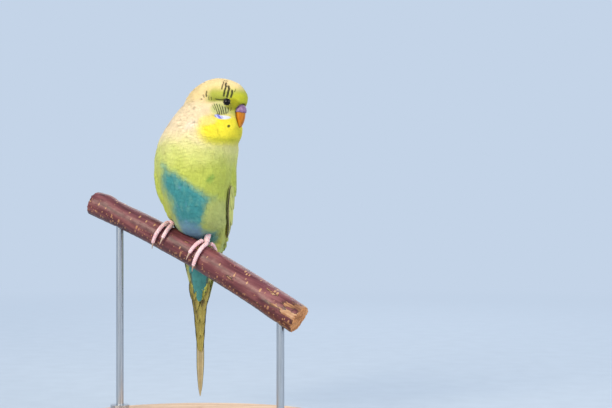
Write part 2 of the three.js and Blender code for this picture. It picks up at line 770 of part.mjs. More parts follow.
function makeWings() {
  const room = solid(trunkBody(gap + 0.1, 13)).add(solid(branch(gap))).add(feetRoom());
  for (const [name, side] of [['right', -1], ['left', 1]]) {
    const pieces = [...flightFeathers(side), ...wingCoverts(side)];
    const whole = pieces.reduce((body, feather) => body.add(feather), solid(armBody(side)));
    piece(bird, `${name}_wing`, whole.subtract(room), 0xd9dc6b, 0.85);
  }
}

// The tail and its coverts

const tailLean = THREE.MathUtils.degToRad(tailTilt);
const tailWay = new THREE.Vector3(tailSway, Math.sin(tailLean), -Math.cos(tailLean));
const tailBack = new THREE.Vector3(0, -tailWay.z, tailWay.y);
const tailAt = profile(tailForm, 's');

/** A point of the tail: along it, across it and out of its back. */
function onTail(along, across, out) {
  const spine = tailRoot.clone().addScaledVector(tailWay, along).addScaledVector(tailBack, out);
  return spine.add(new THREE.Vector3(across, 0, 0));
}

/** A short flat body along the tail, round at its edges, into which feathers are rooted. */
function tailCoreBody({ from, to, wide, thick, middle }) {
  const rings = [];
  for (let i = 0; i <= 4; i += 1) {
    const t = i / 4;
    const s = THREE.MathUtils.lerp(from, to, t);
    const taper = 1 - 0.6 * t ** 2;
    const ring = [];
    for (let j = 0; j < 10; j += 1) {
      const angle = 2 * Math.PI * j / 10;
      ring.push(onTail(s, wide / 2 * taper * Math.cos(angle), middle + thick / 2 * taper * Math.sin(angle)));
    }
    rings.push(ring);
  }
  return solid(loft(rings));
}

/** One tail feather of a pair: the outer ones lie under the inner ones, and each slopes outwards. */
function rectrix(place, side) {
  const { tip, wide, uneven, steps } = rectrices[place];
  const last = rectrices.length - 1;
  const start = -6;
  const end = tip + side * uneven / 2 - Math.abs(uneven / 2);
  const at = (t, k, over) => {
    const s = THREE.MathUtils.lerp(start, end, t);
    const room = tailAt(Math.max(s, 0)).wide / 2;
    const half = Math.min(wide / 2, room * 0.85);
    const middle = (room - half) * place / last + 0.25 * half;
    const across = middle + k * half;
    const level = rectrixStep * (1.2 - place) + over - rectrixThick / 2;
    return onTail(s, side * across, level - rectrixRoof * across);
  };
  return vane(at, rectrixThick, steps, 4.5 / (end - start));
}

function makeTail() {
  const feathers = rectrices.flatMap((_, place) => [-1, 1].map((side) => rectrix(place, side)));
  const whole = feathers.reduce((body, feather) => body.add(feather), tailCoreBody(tailCore));
  piece(bird, 'tail', whole.subtract(solid(trunkBody(gap))), 0xc9c27a, 0.8);
}

/** The coverts on one face of the tail's root: short feathers at the sides, the longest in the middle. */
function covertPlume({ face, from, core, feathers }) {
  const clear = (s) => tailAt(Math.max(s, 0)).thick / 2 + gap;
  const base = clear(from) + core.thick / 2;
  const root = tailCoreBody({ ...core, from, middle: face * base });
  return feathers.reduce((body, { tip, across, wide, out }) => {
    const at = (t, k, over) => {
      const s = THREE.MathUtils.lerp(from + 1, tip, t);
      const sunk = core.thick * 0.55 * (1 - t) + out;
      const x = across * (1 - 0.25 * t) + k * wide / 2;
      return onTail(s, x, face * (clear(s) + sunk + over - 0.12 * Math.abs(k * wide / 2)));
    };
    return body.add(vane(at, 0.6, 3, 0.35));
  }, root).subtract(solid(trunkBody(gap)));
}

function makeCoverts() {
  piece(bird, 'undertail_coverts', covertPlume(undertail), 0x3f9a92, 0.85);
  piece(bird, 'uppertail_coverts', covertPlume(uppertail), 0x7fb56b, 0.85);
}

makePerch();
makeStand();
makeFlesh();
makeBill();
feet.forEach(makeFoot);
makeWings();
makeTail();
makeCoverts();

export default model;
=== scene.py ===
# %% [markdown]
# # A budgerigar on its perch
#
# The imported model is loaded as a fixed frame: one named solid for each part of the bird, the branch
# and the stand. Every new piece is made in the same metres and in the same place. Lengths are
# written in millimetres where a person would measure them, and one factor turns them into metres.

# %% Load the frame
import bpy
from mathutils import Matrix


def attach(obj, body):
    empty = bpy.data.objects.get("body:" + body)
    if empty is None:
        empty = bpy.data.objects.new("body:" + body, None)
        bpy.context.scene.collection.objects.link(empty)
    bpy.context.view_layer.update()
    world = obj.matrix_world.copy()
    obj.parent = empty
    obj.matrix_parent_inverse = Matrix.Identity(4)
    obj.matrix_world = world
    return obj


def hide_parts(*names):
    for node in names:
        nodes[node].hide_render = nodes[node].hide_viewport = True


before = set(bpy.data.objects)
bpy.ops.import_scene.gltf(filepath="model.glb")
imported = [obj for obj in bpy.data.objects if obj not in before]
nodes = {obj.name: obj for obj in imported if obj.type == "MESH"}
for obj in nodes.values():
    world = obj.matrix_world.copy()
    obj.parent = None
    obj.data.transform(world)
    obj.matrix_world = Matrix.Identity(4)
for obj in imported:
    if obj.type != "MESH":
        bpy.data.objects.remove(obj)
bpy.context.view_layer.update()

import math

import bpy
import numpy as np
from mathutils import Matrix, Vector, noise
from mathutils.bvhtree import BVHTree

MM = 0.001
# The bird's own frame: its origin is on the axis of the branch, under the bird
BIRD_PLACE = np.array([0.0, -6.0, 90.5])

# %% [markdown]
# ## Camera
#
# The view is level, through a long lens, from a little right of the bird. An 85 mm lens on a 36 mm
# sensor gives that perspective: a far camera flattens the bird, and a near one would make the head
# too large for the tail. The plain Standard view shows the colours below as they are, where the
# film-like one would wash the yellows out.

# %% Camera
camera_data = bpy.data.cameras.new("camera")
camera_data.lens = 85
camera_data.sensor_width = 36
camera = bpy.data.objects.new("camera", camera_data)
camera.location = Vector((55, -757, 118)) * MM
camera.rotation_euler = (math.radians(90), 0, 0)
bpy.context.scene.collection.objects.link(camera)
bpy.context.scene.camera = camera
bpy.context.scene.view_settings.view_transform = "Standard"
print("camera at", tuple(camera.location))

# %% [markdown]
# ## Helpers for materials
#
# Colours are written as sRGB hex values, and one function turns them to the linear light that the
# renderer works in. Another starts a finish and gives back two small functions: one adds a node
# with its settings and links, and one feeds the surface shader. Many finishes are no more than a
# soft grain that colours the surface and raises it, so that pattern is made once.
#
# Object coordinates are in metres, so a pattern's scale says how many of its grains fit in a metre:
# a grain of 1 mm has a scale of 1000.


# %% Colour and node helpers
def linear(code):
    """The linear RGB of an sRGB hex colour."""
    values = [int(code[i:i + 2], 16) / 255 for i in (1, 3, 5)]
    return [v / 12.92 if v <= 0.04045 else ((v + 0.055) / 1.055) ** 2.4 for v in values]


def finish_of(name, **surface):
    """A new material, the function that adds its nodes and the one that feeds its shader."""
    made = bpy.data.materials.new(name)
    made.use_nodes = True
    tree = made.node_tree

    def wire(node, inputs):
        for key, value in inputs.items():
            if isinstance(value, bpy.types.NodeSocket):
                tree.links.new(value, node.inputs[key])
            else:
                value = (*linear(value), 1) if isinstance(value, str) else value
                node.inputs[key].default_value = value

    def add(kind, inputs=None, out=0, stops=(), **settings):
        """An output of a new node; an input is a value, a hex colour or a socket that feeds it."""
        node = tree.nodes.new("ShaderNode" + kind)
        for key, value in settings.items():
            setattr(node, key, value)
        wire(node, inputs or {})
        while stops and len(node.color_ramp.elements) < len(stops):
            node.color_ramp.elements.new(0.5)
        for i, (place, code) in enumerate(stops):
            node.color_ramp.elements[i].position = place
            node.color_ramp.elements[i].color = (*linear(code), 1)
        return node.outputs[out]

    def feed(**inputs):
        shader = tree.nodes["Principled BSDF"]
        wire(shader, {key.replace("_", " "): value for key, value in inputs.items()})

    feed(**surface)
    return made, add, feed


# What a Mix node is set to where it mixes or multiplies colours: its input 0 is the share of the
# second colour, and inputs 6 and 7 are the two colours
MIX = {"out": 2, "data_type": "RGBA"}
MULTIPLY = {**MIX, "blend_type": "MULTIPLY"}


def grained(name, scale, stops, bump_mm=0, detail=2, stretch=(1, 1, 1), **surface):
    """A finish whose one soft grain colours the surface and raises it."""
    made, add, feed = finish_of(name, **surface)
    way = add("Mapping", {0: add("TexCoord", out="Object"), "Scale": stretch})
    grain = add("TexNoise", {"Vector": way, "Scale": scale, "Detail": detail})
    feed(Base_Color=add("ValToRGB", {0: grain}, stops=stops))
    if bump_mm:
        feed(Normal=add("Bump", {"Height": grain, "Distance": bump_mm * MM}))
    return made


print("helpers ready")

# %% [markdown]
# ## Helpers for pieces
#
# An operator works on everything that is selected, so each step starts with nothing selected. A
# finished piece rides on the root body, has one material, and stands for the solids that it hides.


# %% Piece helpers
def only(active, *others):
    """Nothing selected but these pieces, the first of them active."""
    bpy.ops.object.select_all(action="DESELECT")
    for piece in (active, *others):
        piece.select_set(True)
    bpy.context.view_layer.objects.active = active


def edit_all(piece, operator, **settings):
    """An edit-mode operator on the whole of a piece."""
    only(piece)
    bpy.ops.object.mode_set(mode="EDIT")
    bpy.ops.mesh.select_all(action="SELECT")
    operator(**settings)
    bpy.ops.object.mode_set(mode="OBJECT")


def primitive(kind, name, **sizes):
    """A new primitive, added with nothing selected."""
    bpy.ops.object.select_all(action="DESELECT")
    getattr(bpy.ops.mesh, f"primitive_{kind}_add")(**sizes)
    bpy.context.object.name = name
    return bpy.context.object


def linked(name, data):
    """A new object in the scene for a mesh or a light."""
    made = bpy.data.objects.new(name, data)
    data.name = name
    bpy.context.scene.collection.objects.link(made)
    return made


def copy_of(name, *names):
    """The named solids copied and joined as one piece, with doubled points merged."""
    copies = [linked(name, nodes[node_name].data.copy()) for node_name in names]
    only(*copies)
    if len(copies) > 1:
        bpy.ops.object.join()
    edit_all(copies[0], bpy.ops.mesh.remove_doubles, threshold=0.01 * MM)
    return copies[0]


def apply_all(piece):
    only(piece)
    for modifier in list(piece.modifiers):
        bpy.ops.object.modifier_apply(modifier=modifier.name)


def remeshed(piece, voxel_mm, smooth_steps, grow_mm=0.0):
    """One even skin over the piece, grown first so that narrow gaps close."""
    if grow_mm:
        grown = piece.modifiers.new("grow", "DISPLACE")
        grown.strength = grow_mm * MM
        grown.mid_level = 0
    voxels = piece.modifiers.new("voxels", "REMESH")
    voxels.mode = "VOXEL"
    voxels.voxel_size = voxel_mm * MM
    relaxed = piece.modifiers.new("relax", "SMOOTH")
    relaxed.factor = 0.5
    relaxed.iterations = smooth_steps
    apply_all(piece)
    bpy.ops.object.shade_smooth()
    return piece


def ready(piece, material, slot, *replaced):
    """The piece's finish, the body that carries it and the solids that it stands for."""
    piece.data.materials.clear()
    piece.data.materials.append(material)
    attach(piece, "root")
    if replaced:
        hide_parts(*replaced)
    print(piece.name, len(piece.data.polygons), "faces")


print("pieces can be made")

# %% [markdown]
# ## Helpers for points
#
# A coat has more points than an operator can place one by one, so they are read and written as
# arrays. Places on the bird are worked out in millimetres in its own frame.


# %% Point helpers
def read(items, key, width=3, kind=np.float32):
    """One value of every item of a mesh, a row for each."""
    values = np.empty(len(items) * width, kind)
    items.foreach_get(key, values)
    return values.reshape(-1, width)


def points_of(mesh, key="co"):
    """The places of a mesh's points, or their normals."""
    return read(mesh.vertices, key).astype(float)


def move_points(mesh, points):
    mesh.vertices.foreach_set("co", points.astype(np.float32).ravel())
    mesh.update()


def triangles_of(mesh, key="vertices"):
    mesh.calc_loop_triangles()
    return read(mesh.loop_triangles, key, kind=np.int32)


def tree_of(points, triangles):
    return BVHTree.FromPolygons(points.tolist(), triangles.tolist())


def to_bird(points):
    """Points in metres as millimetres in the bird's frame."""
    return points / MM - BIRD_PLACE


def to_world(points):
    return (points + BIRD_PLACE) * MM


def smooth(low, high, value):
    """0 below one limit, 1 past the other, and a soft step between them."""
    t = np.clip((value - low) / (high - low), 0, 1)
    return t * t * (3 - 2 * t)


print("points can be moved")

# %% [markdown]
# ## The form under the plumage
#
# On the bird, one skin runs from the bill to the tail, and the feathers give the outline. The
# solids of head, neck and torso already have that outline, so their copies are joined into one form
# with no seams. The skin is that form drawn in by the depth of the coat, and the feathers fill the
# space.

# %% The form
# Below this height the wings hang free of the trunk, so they don't belong to its skin
WINGS_FREE = 2
form = copy_of("form", "left_wing", "right_wing")
cut = {"plane_co": Vector(to_world(np.array([0, 0, WINGS_FREE]))), "plane_no": (0, 0, 1)}
edit_all(form, bpy.ops.mesh.bisect, use_fill=True, clear_inner=True, **cut)
only(form, copy_of(
    "flesh", "head", "neck", "torso", "left_eye", "right_eye",
    "undertail_coverts", "uppertail_coverts",
))
bpy.ops.object.join()
remeshed(form, 0.65, smooth_steps=5, grow_mm=0.15)
# The front edge of each wing's solid leaves a ridge down the flank, where plumage lies smooth
x, y, z = to_bird(points_of(form.data)).T
share = smooth(-11, -5, y) * smooth(14, 8, y) * smooth(6, 14, z) * smooth(70, 62, z)
flank = form.vertex_groups.new(name="flank")
for i in np.flatnonzero(share > 0.01):
    flank.add([int(i)], float(share[i]), "REPLACE")
relaxed = form.modifiers.new("relax", "SMOOTH")
relaxed.vertex_group = "flank"
relaxed.iterations = 60
apply_all(form)
# Full plumage makes the trunk a little wider than the solids and lies flatter on the crown
FULLER, FLATTER = 0.5, 0.95
form_points = points_of(form.data)
z = to_bird(form_points)[:, 2]
fuller = FULLER * smooth(6, 20, z) * smooth(72, 58, z)
form_points += points_of(form.data, "normal") * fuller[:, None] * MM
form_points[:, 2] -= FLATTER * smooth(81, 92, z) * MM
move_points(form.data, form_points)
form_normals = points_of(form.data, "normal")
form_triangles = triangles_of(form.data)
form_tree = tree_of(form_points, form_triangles)
form_bird = to_bird(form_points)
print("form:", len(form_points), "points,", len(form_triangles), "triangles")

# %% [markdown]
# ## Places on the bird
#
# Markings are easiest to place in the head's own frame: how far forward, how far to the side, how
# high. The head is turned to the bird's left, so one function turns a place of the bird into a
# place of the head. The lie of the feathers starts at the bill, runs back over the head and then
# down the body.

# %% Places and the lie of the plumage
HEAD_CENTRE = np.array([10.7, -5.0, 79.5])
HEAD_TURN = math.radians(-24)
TURN_COS, TURN_SIN = math.cos(HEAD_TURN), math.sin(HEAD_TURN)
BILL_BASE = np.array([12.5, 0.0, -4.5])
EYE = np.array([8.5, 8.65, -0.15])
DOWN_BODY = np.array([[0.0, 0.24, -1.0]])


def to_head(points):
    """Forward, side and height in the head's frame of points of the bird; side has no sign."""
    x, y, z = (points - HEAD_CENTRE).T
    return np.stack([x * TURN_COS + y * TURN_SIN, np.abs(x * TURN_SIN - y * TURN_COS), z], axis=1)


def from_head(f, r, z):
    """A point of the head's frame in the bird's frame."""
    return HEAD_CENTRE + np.array([f * TURN_COS + r * TURN_SIN, f * TURN_SIN - r * TURN_COS, z])


def unit(vectors):
    return vectors / np.maximum(np.linalg.norm(vectors, axis=1, keepdims=True), 1e-9)


def from_bill(points):
    """How far each point of the bird's frame is from the root of the bill, in millimetres."""
    return np.linalg.norm(points - from_head(*BILL_BASE), axis=1)


def lie(points, normals):
    """The way that the feathers lie at each point: away from the bill, then down the body."""
    share = smooth(15, 30, from_bill(points))[:, None]
    way = unit(points - from_head(*BILL_BASE)) * (1 - share) + unit(DOWN_BODY) * share
    return unit(way - normals * np.sum(way * normals, axis=1, keepdims=True))


print("eye at", from_head(*EYE))

# %% [markdown]
# ## Where the wings lie
#
# The folded wings wrap the body, so a place on a wing is given by its height and its angle round
# the body, from the middle of the back. The sections of the body are a table of a few rows, and
# smooth curves through the rows give every height between them.


# %% Sections of the body
def profile(rows):
    """A smooth curve through rows of (place, value, value ...)."""
    table = np.array(sorted(rows), float)
    places, values = table[:, 0], table[:, 1:]
    last = len(places) - 1
    before, after = np.r_[0, 0:last], np.r_[1:last + 1, last]
    slopes = (values[after] - values[before]) / (places[after] - places[before])[:, None]

    def at(place):
        place = np.clip(np.atleast_1d(np.asarray(place, float)), places[0], places[-1])
        i = np.clip(np.searchsorted(places, place) - 1, 0, last - 1)
        width = (places[i + 1] - places[i])[:, None]
        t = (place - places[i])[:, None] / width
        first, second = values[i], values[i + 1]
        rise = 3 * (second - first) - width * (2 * slopes[i] + slopes[i + 1])
        fall = 2 * (first - second) + width * (slopes[i] + slopes[i + 1])
        return (first + t * (width * slopes[i] + t * (rise + t * fall))).T

    return at


# Height, sideways middle, half width, and how far the breast and the back reach
trunk_form = profile([
    (-30, -1.6, 4.2, 22.0, 31.2), (-20, -1.6, 5.4, 19.0, 30.6), (-10.5, -1.3, 7.2, 15.0, 29.8),
    (-2.5, -0.7, 9.0, 11.0, 29.0), (4.5, 0.0, 10.4, 9.6, 28.0), (9.5, 0.2, 12.0, 2.0, 27.5),
    (14.5, 0.2, 13.2, -8.0, 26.8), (19.5, 0.0, 14.2, -13.2, 26.0), (27.5, -1.3, 16.2, -17.6, 24.6),
    (37.5, -2.4, 18.5, -20.4, 22.8), (47.5, -2.7, 19.6, -21.2, 20.8),
    (57.5, -1.3, 20.4, -20.6, 17.8), (65.5, 0.8, 19.0, -18.6, 14.6),
    (73.5, 3.2, 16.2, -16.0, 11.0), (79.5, 5.6, 13.2, -13.2, 7.8),
])
# Height, and the angles of a wing's outer and inner edge
wing_edges = profile([
    (57, 84, 62), (53, 92, 42), (46, 97, 28), (36, 101, 19), (24, 101, 13),
    (12, 94, 8), (0, 84, 5), (-12, 72, 4), (-22, 54, 4), (-28, 34, 4),
])
wing_depth = profile([
    (-30, 1.1), (8, 1.6), (15.5, 2.0), (22, 2.2), (32, 2.4), (40, 2.1), (46, 1.7), (53, 1.2),
    (58, 0.7),
])
# Where the form is left bare for the wing's own feathers
wing_front = profile([
    (-30, 40), (-12, 70), (0, 83), (12, 93), (24, 99), (33, 98), (38, 88), (44, 74), (50, 60),
    (54, 50),
])
wing_back = profile([(-30, 0), (20, 5), (34, 16), (46, 26), (54, 40)])
print("wing edges at 30 mm:", wing_edges(30).ravel())

# %% [markdown]
# ## Places on a section
#
# A section of the body is a little squarer than an ellipse, and widest a little behind its middle.
# One function finds the place for an angle and another the angle of a place, which tells what part
# of the surface belongs to the wings, so that the flank's feathers can cover their front edge.

# %% On a section and on the tail
SQUARENESS, WIDEST = 2.25, 1.5


def on_section(z, angle, lift):
    """A point round the body at a height: angle 0 is the back, 90 the bird's left side."""
    x, half, front, back = trunk_form(z)
    turn = np.radians(angle)
    across, along = (
        np.sign(way) * np.abs(way) ** (2 / SQUARENESS) for way in (np.sin(turn), np.cos(turn))
    )
    middle = (front + back) / 2 + WIDEST
    reach = np.where(along > 0, back - middle, middle - front)
    return np.stack([x + (half + lift) * across, middle + (reach + lift) * along, z], axis=1)


def section_angle(points):
    """The angle round the body, without its side, of points in the bird's frame."""
    x, y, z = points.T
    middle_x, half, front, back = trunk_form(z)
    middle = (front + back) / 2 + WIDEST
    reach = np.where(y > middle, back - middle, middle - front)
    across, along, power = np.abs(x - middle_x) / half, (y - middle) / reach, SQUARENESS / 2
    return np.degrees(np.arctan2(across ** power, np.sign(along) * np.abs(along) ** power))


def on_wing(points):
    """Which points of the form are covered by the wings' own feathers."""
    x, y, z = points.T
    angle = section_angle(points)
    # On the left, the wing shows wider on the flank and narrower above it
    wider = 12 * smooth(8, 22, z) * smooth(39, 33.5, z) - 8 * smooth(34, 42, z)
    front = wing_front(z)[0] + (x > 0) * wider
    return (angle > wing_back(z)[0]) & (angle < front) & (z < 52) & (y > -17)


# The tail's root, the way the tail points and the way its upper side faces
TAIL_ROOT = np.array([-1.6, 21.6, -16.8])
TAIL_LEAN = math.radians(20)
TAIL_WAY = np.array([-0.022, math.sin(TAIL_LEAN), -math.cos(TAIL_LEAN)])
TAIL_BACK = np.array([0.0, math.cos(TAIL_LEAN), math.sin(TAIL_LEAN)])
# Along the tail, and the half width and half depth of its coverts
sleeve_form = profile([
    (-12, 7.2, 7.8), (-6, 5.9, 6.8), (-2, 5.0, 5.8), (2, 4.2, 4.9), (6, 3.4, 3.8), (10, 2.8, 2.7),
    (14, 2.5, 1.9), (20, 2.4, 1.3),
])


def on_tail(along, across, out):
    points = TAIL_ROOT + TAIL_WAY * along[:, None] + TAIL_BACK * out[:, None]
    points[:, 0] += across
    return points


print("tail from", TAIL_ROOT, "towards", TAIL_WAY)

# %% [markdown]
# ## Markings
#
# The bird is a pied one: pale yellow-green, with a blue-green patch down the belly, a yellow mask
# and fine dark bars near the eye. Its markings are worked out from a few named regions, each an
# outline in millimetres with a soft, slightly ragged edge, so that skin and feathers carry the same
# pattern wherever a feather happens to lie.

# %% Regions of the plumage
CROWN, NAPE, MASK_YELLOW, LIME = "#FBDFA2", "#FBE5BE", "#FCEB40", "#AEB83C"
BREAST, FLANK, OLIVE_AND_SIDE_SHADE = "#E7E78E", "#C9D25F", "#C1CB5B"
TEAL, BLUE, SEA_GREEN, YELLOW_GREEN = "#46989A", "#7BA6BE", "#5FA59A", "#C2CA76"
BACK, RUMP, BAR, CHEEK_BLUE, CHEEK_WHITE = "#D3D562", "#AEC070", "#26281E", "#8A8CEC", "#F1F4FC"

# Outlines on the front of the body: across and up, in the bird's frame
TEAL_PATCH = [
    (-17.8, 48), (-12, 44), (-6.5, 40), (-1.5, 35.5), (8, 32), (4, 27), (2.6, 17), (-2, 10.5),
    (-8, 11), (-12.6, 21), (-14.6, 29), (-18.4, 39),
]
BLUE_PATCH = [(-12, 19), (-5, 18), (2, 15), (2, 8), (-5, 7), (-11, 13)]
YELLOW_PATCH = [(8, 31), (14, 28), (15, 19), (12, 13.5), (6, 15.5), (3, 20), (4.5, 27)]
VENT_PATCH = [
    (4, 14), (9, 13), (8, 5), (4.6, -5), (3, -18), (-5.6, -18), (-5.8, -6), (-8, 2), (-8, 9),
]
# Lines with half their width, also for the bars near the eye: forward and up in the head's frame
VENT_LINES = [([(-7.2, -4.0), (-6.1, -16.0)], 0.35), ([(4.6, -9.0), (2.4, -19.0)], 0.4)]
HEAD_BARS = [
    ([(4.8, 10.4), (5.1, 8.7), (5.2, 6.6)], 0.27),
    ([(6.2, 9.8), (6.9, 7.9), (6.8, 5.5), (6.7, 3.0)], 0.43),
    ([(8.0, 8.1), (8.7, 6.6), (8.5, 4.6), (8.5, 2.5)], 0.46),
    ([(10.1, 5.8), (10.4, 4.7), (10.3, 3.5), (10.1, 2.4)], 0.40),
    ([(11.3, 6.4), (11.3, 5.0)], 0.12), ([(3.2, 10.6), (4.7, 11.2), (6.2, 11.0)], 0.12),
    ([(-3.0, 5.6), (-3.1, 4.3), (-2.8, 2.9)], 0.33),
    ([(-4.8, 3.9), (-4.3, 2.6)], 0.20), ([(-5.8, 2.5), (-5.6, 1.4)], 0.25),
    ([(-1.4, 3.2), (-1.2, 1.3)], 0.17), ([(0.1, 2.5), (0.4, 1.0)], 0.16),
    # The first line here, from 2.6 to 6.6 mm forward, is painted shadow along the edge of the ear
    # coverts
    ([(2.6, 1.5), (4.4, 1.1), (6.6, 1.0)], 0.24), ([(1.0, -1.4), (1.9, -2.9), (2.6, -4.2)], 0.10),
    ([(2.0, -1.0), (2.9, -3.0), (3.6, -4.9), (4.1, -6.2)], 0.18),
    ([(3.3, -1.1), (4.0, -3.0), (4.6, -4.9), (4.9, -6.5)], 0.21),
    ([(4.7, -1.5), (5.2, -3.2), (5.6, -4.8), (5.8, -6.4)], 0.21),
    ([(6.1, -2.2), (6.3, -3.6), (6.5, -4.9), (6.7, -6.2)], 0.20),
    ([(7.5, -2.7), (7.5, -3.7), (7.5, -4.9), (7.5, -6.0)], 0.19),
    ([(8.8, -2.9), (8.6, -3.9), (8.4, -4.8), (8.2, -5.6)], 0.13),
    ([(9.9, -2.8), (9.6, -3.7), (9.2, -4.5)], 0.10), ([(3.7, -6.1), (4.7, -6.4)], 0.16),
]


def waves(points, size, seed=0.0):
    """Soft noise from -1 to 1 at each point, with features of that size in millimetres."""
    x, y, z = (points / size + seed).T
    total = np.sin(1.7 * x + 2.1 * np.sin(y + 0.6 * z))
    total += np.sin(1.9 * y + 1.8 * np.sin(z * 1.1 + 0.5 * x))
    total += np.sin(2.3 * z + 1.6 * np.sin(x * 1.2 - 0.7 * y))
    return total / 3


def off_line(x, z, line):
    """Distance of each point from a broken line."""
    best = np.full(len(x), 1e9)
    for (x0, z0), (x1, z1) in zip(line, line[1:]):
        dx, dz = x1 - x0, z1 - z0
        t = np.clip(((x - x0) * dx + (z - z0) * dz) / (dx * dx + dz * dz), 0, 1)
        best = np.minimum(best, np.hypot(x - x0 - t * dx, z - z0 - t * dz))
    return best


def inside(x, z, outline, soft):
    """1 inside an outline, 0 outside it, with an edge that wide."""
    closed = outline + outline[:1]
    distance = off_line(x, z, closed)
    within = np.zeros(len(x), bool)
    for (x0, z0), (x1, z1) in zip(closed, closed[1:]):
        at = x0 + (z - z0) * (x1 - x0) / (z1 - z0 if z1 != z0 else 1e-9)
        within ^= ((z0 > z) != (z1 > z)) & (x < at)
    return smooth(-soft, soft, np.where(within, distance, -distance))


def paint(colours, *layers):
    """The colours with others over them in turn, each by every point's own share."""
    for share, code in layers:
        colours = colours + (np.array(linear(code)) - colours) * share[:, None]
    return colours


print(len(HEAD_BARS), "bars near each eye")

# %% [markdown]
# ## Colours from the regions
#
# The ground colours of body and head are painted one over the other, broad ones first. The cheek
# patch and the fine bars come last, because they are sharper than a feather is wide.


# %% Colours of the plumage
def body_colours(points):
    """The ground colour of the plumage at points of the bird's frame."""
    x, y, z = points.T
    f, _, h = to_head(points).T
    wander = waves(points, 5.5) * 1.6 + waves(points, 2.3, 4.0) * 0.9
    wander += waves(points, 1.0, 7.0) * 0.5
    xs, zs = x + wander, z + waves(points, 4.1, 9.0) * 1.4
    front = smooth(12, 4, y - 16 * smooth(8, -16, z))
    behind = smooth(10, 18, y - 10 * smooth(8, -16, z))
    mottle = smooth(0.0, 0.9, waves(points, 3.2, 5.0)) * smooth(68, 58, z) * smooth(26, 40, z)
    teal = inside(xs, zs, TEAL_PATCH, 2.8) * front
    streak = smooth(0.1, 0.9, waves(points * [1, 1, 0.22], 0.9, 2.0))
    lilac = smooth(0.3, 0.9, waves(points * [1, 1, 0.25], 0.8, 6.0)) * teal
    lilac *= smooth(5, 2, np.abs(x + 8)) * smooth(14, 20, z)
    high = smooth(-27, -11, h + wander)
    pale = smooth(0.1, 0.8, waves(points, 4.0, 3.0)) * smooth(-6, -12, h) * smooth(4, -2, f)
    brow = smooth(9.5, 4.0, h + 0.3 * wander) * smooth(-1.6, 1.5, h) * smooth(-5.0, 1.0, f)
    # Painted shade: a dark olive band in the crease along the brow, behind the eye
    fold = smooth(4.2, 1.0, h) * smooth(-0.4, 1.0, h) * smooth(-3, 3, f) * smooth(9.5, 7, f)
    below_bill = smooth(9.5, 12.5, f) * smooth(-5, -8, h) * smooth(-23, -18, h)

    def spot(f0, h0, wide, tall, inner=0.7, outer=1.3):
        return smooth(outer, inner, np.hypot((f - f0) / wide, (h - h0) / tall))

    mask = spot(6.4, -13.6, 9.2, 7.0, 0.72, 1.42)
    # Painted shadow under the mask's puffed lower edge, over the olive where it meets the breast
    rim = smooth(-16.5, -20.0, h + 0.12 * wander) * smooth(-26, -21, h) * smooth(-4, 2, f) * mask
    dark_lines = [smooth(half + 0.3, half - 0.1, off_line(x, z, line)) for line, half in VENT_LINES]
    return paint(
        np.tile(np.array(linear(BREAST)), (len(points), 1)),
        (smooth(58, 42, z + wander), FLANK),
        # Painted shade: the bird's left side below the breast is made olive, as that side lies in
        # shade
        (smooth(-2, 12, x + wander) * smooth(50, 36, z), OLIVE_AND_SIDE_SHADE),
        (smooth(-9, -17, x + wander) * smooth(40, 48, z) * smooth(64, 56, z) * 0.7, "#D5DE78"),
        (mottle * 0.3, "#BAC254"),
        (inside(xs, zs, VENT_PATCH, 2.4) * front, SEA_GREEN),
        (teal, TEAL),
        (inside(xs, zs, BLUE_PATCH, 3.0) * front, BLUE),
        (teal * streak * 0.4, "#8CC4AE"),
        (lilac * 0.35, "#8FA9DC"),
        (inside(xs, zs, YELLOW_PATCH, 2.6) * front, YELLOW_GREEN),
        (smooth(2.6, 1.0, np.hypot(xs - 6.3, zs - 40.2)) * front * 0.75, "#7FA84C"),
        (smooth(5, 13, y) * smooth(66, 54, z), BACK),
        (smooth(9.6, 11, x) * smooth(18, 11, z), OLIVE_AND_SIDE_SHADE),
        (behind * smooth(16, 2, z), RUMP),
        *[(line * front * 0.8, "#55503C") for line in dark_lines],
        (high, NAPE),
        (smooth(-3, 5, h + wander) * high, CROWN),
        (pale * high * 0.4, "#FFF0E4"),
        (smooth(-8, 0, f) * smooth(-3, -8, h) * high * 0.5, "#F3DA94"),
        (brow * 0.9, LIME),
        (fold * 0.7, "#7A8428"),
        (mask, MASK_YELLOW),
        (spot(-0.4, -9.6, 4.0, 2.2) * 0.8, "#FDE48A"),
        (spot(5.2, -3.6, 5.0, 3.2), "#CFD18A"),
        (spot(11.2, -4.4, 2.4, 3.0, 0.6) * 0.8, "#CFCD48"),
        (rim * 0.9, "#C3C43A"),
        (below_bill * 0.6, "#B6B428"),
        (spot(14.0, -0.2, 1, 1, 3.0, 6.5), "#C3C532"),
        (spot(10.4, -1.2, 1, 1, 2.4, 3.6) * 0.8, "#A29C1C"),
    )


def marked(points, colours):
    """The same colours with the cheek patch and the bars and spots of the head over them."""
    f, r, h = to_head(points).T
    side = smooth(2.0, 4.0, r)
    ragged = 0.12 * np.sin(9 * f) + 0.1 * np.sin(14 * f + 1)
    tilted = h + 7.5 + 0.3 * (f - 4.3)
    blue = smooth(1.15, 0.8, np.hypot((f - 4.4) / 2.0, tilted + ragged)) * side
    white = smooth(1.15, 0.8, np.hypot((f - 6.7) / 2.5, (h + 7.9 + ragged) / 0.95)) * side
    hatch = 3.4 * (f + 0.7 * h)
    dark = np.maximum(
        smooth(0.85, 0.5, np.hypot((f - 8.7) * 1.3, h + 12.3)),
        smooth(1.2, 0.5, np.hypot(f + 8.2, h + 3.0)) * 0.45,
    )
    for line, half in HEAD_BARS:
        dark = np.maximum(dark, smooth(half + 0.13, half - 0.07, off_line(f, h, line)))
    return paint(
        colours,
        (white, CHEEK_WHITE),
        (blue, CHEEK_BLUE),
        (blue * smooth(0.2, 0.9, np.sin(hatch + 1)) * 0.7, CHEEK_WHITE),
        (blue * smooth(0.3, 0.9, np.sin(hatch + 3.4)) * 0.5, "#4C4CAE"),
        (dark * side * smooth(-30, -20, h) * 0.93, BAR),
    )


print("markings ready")

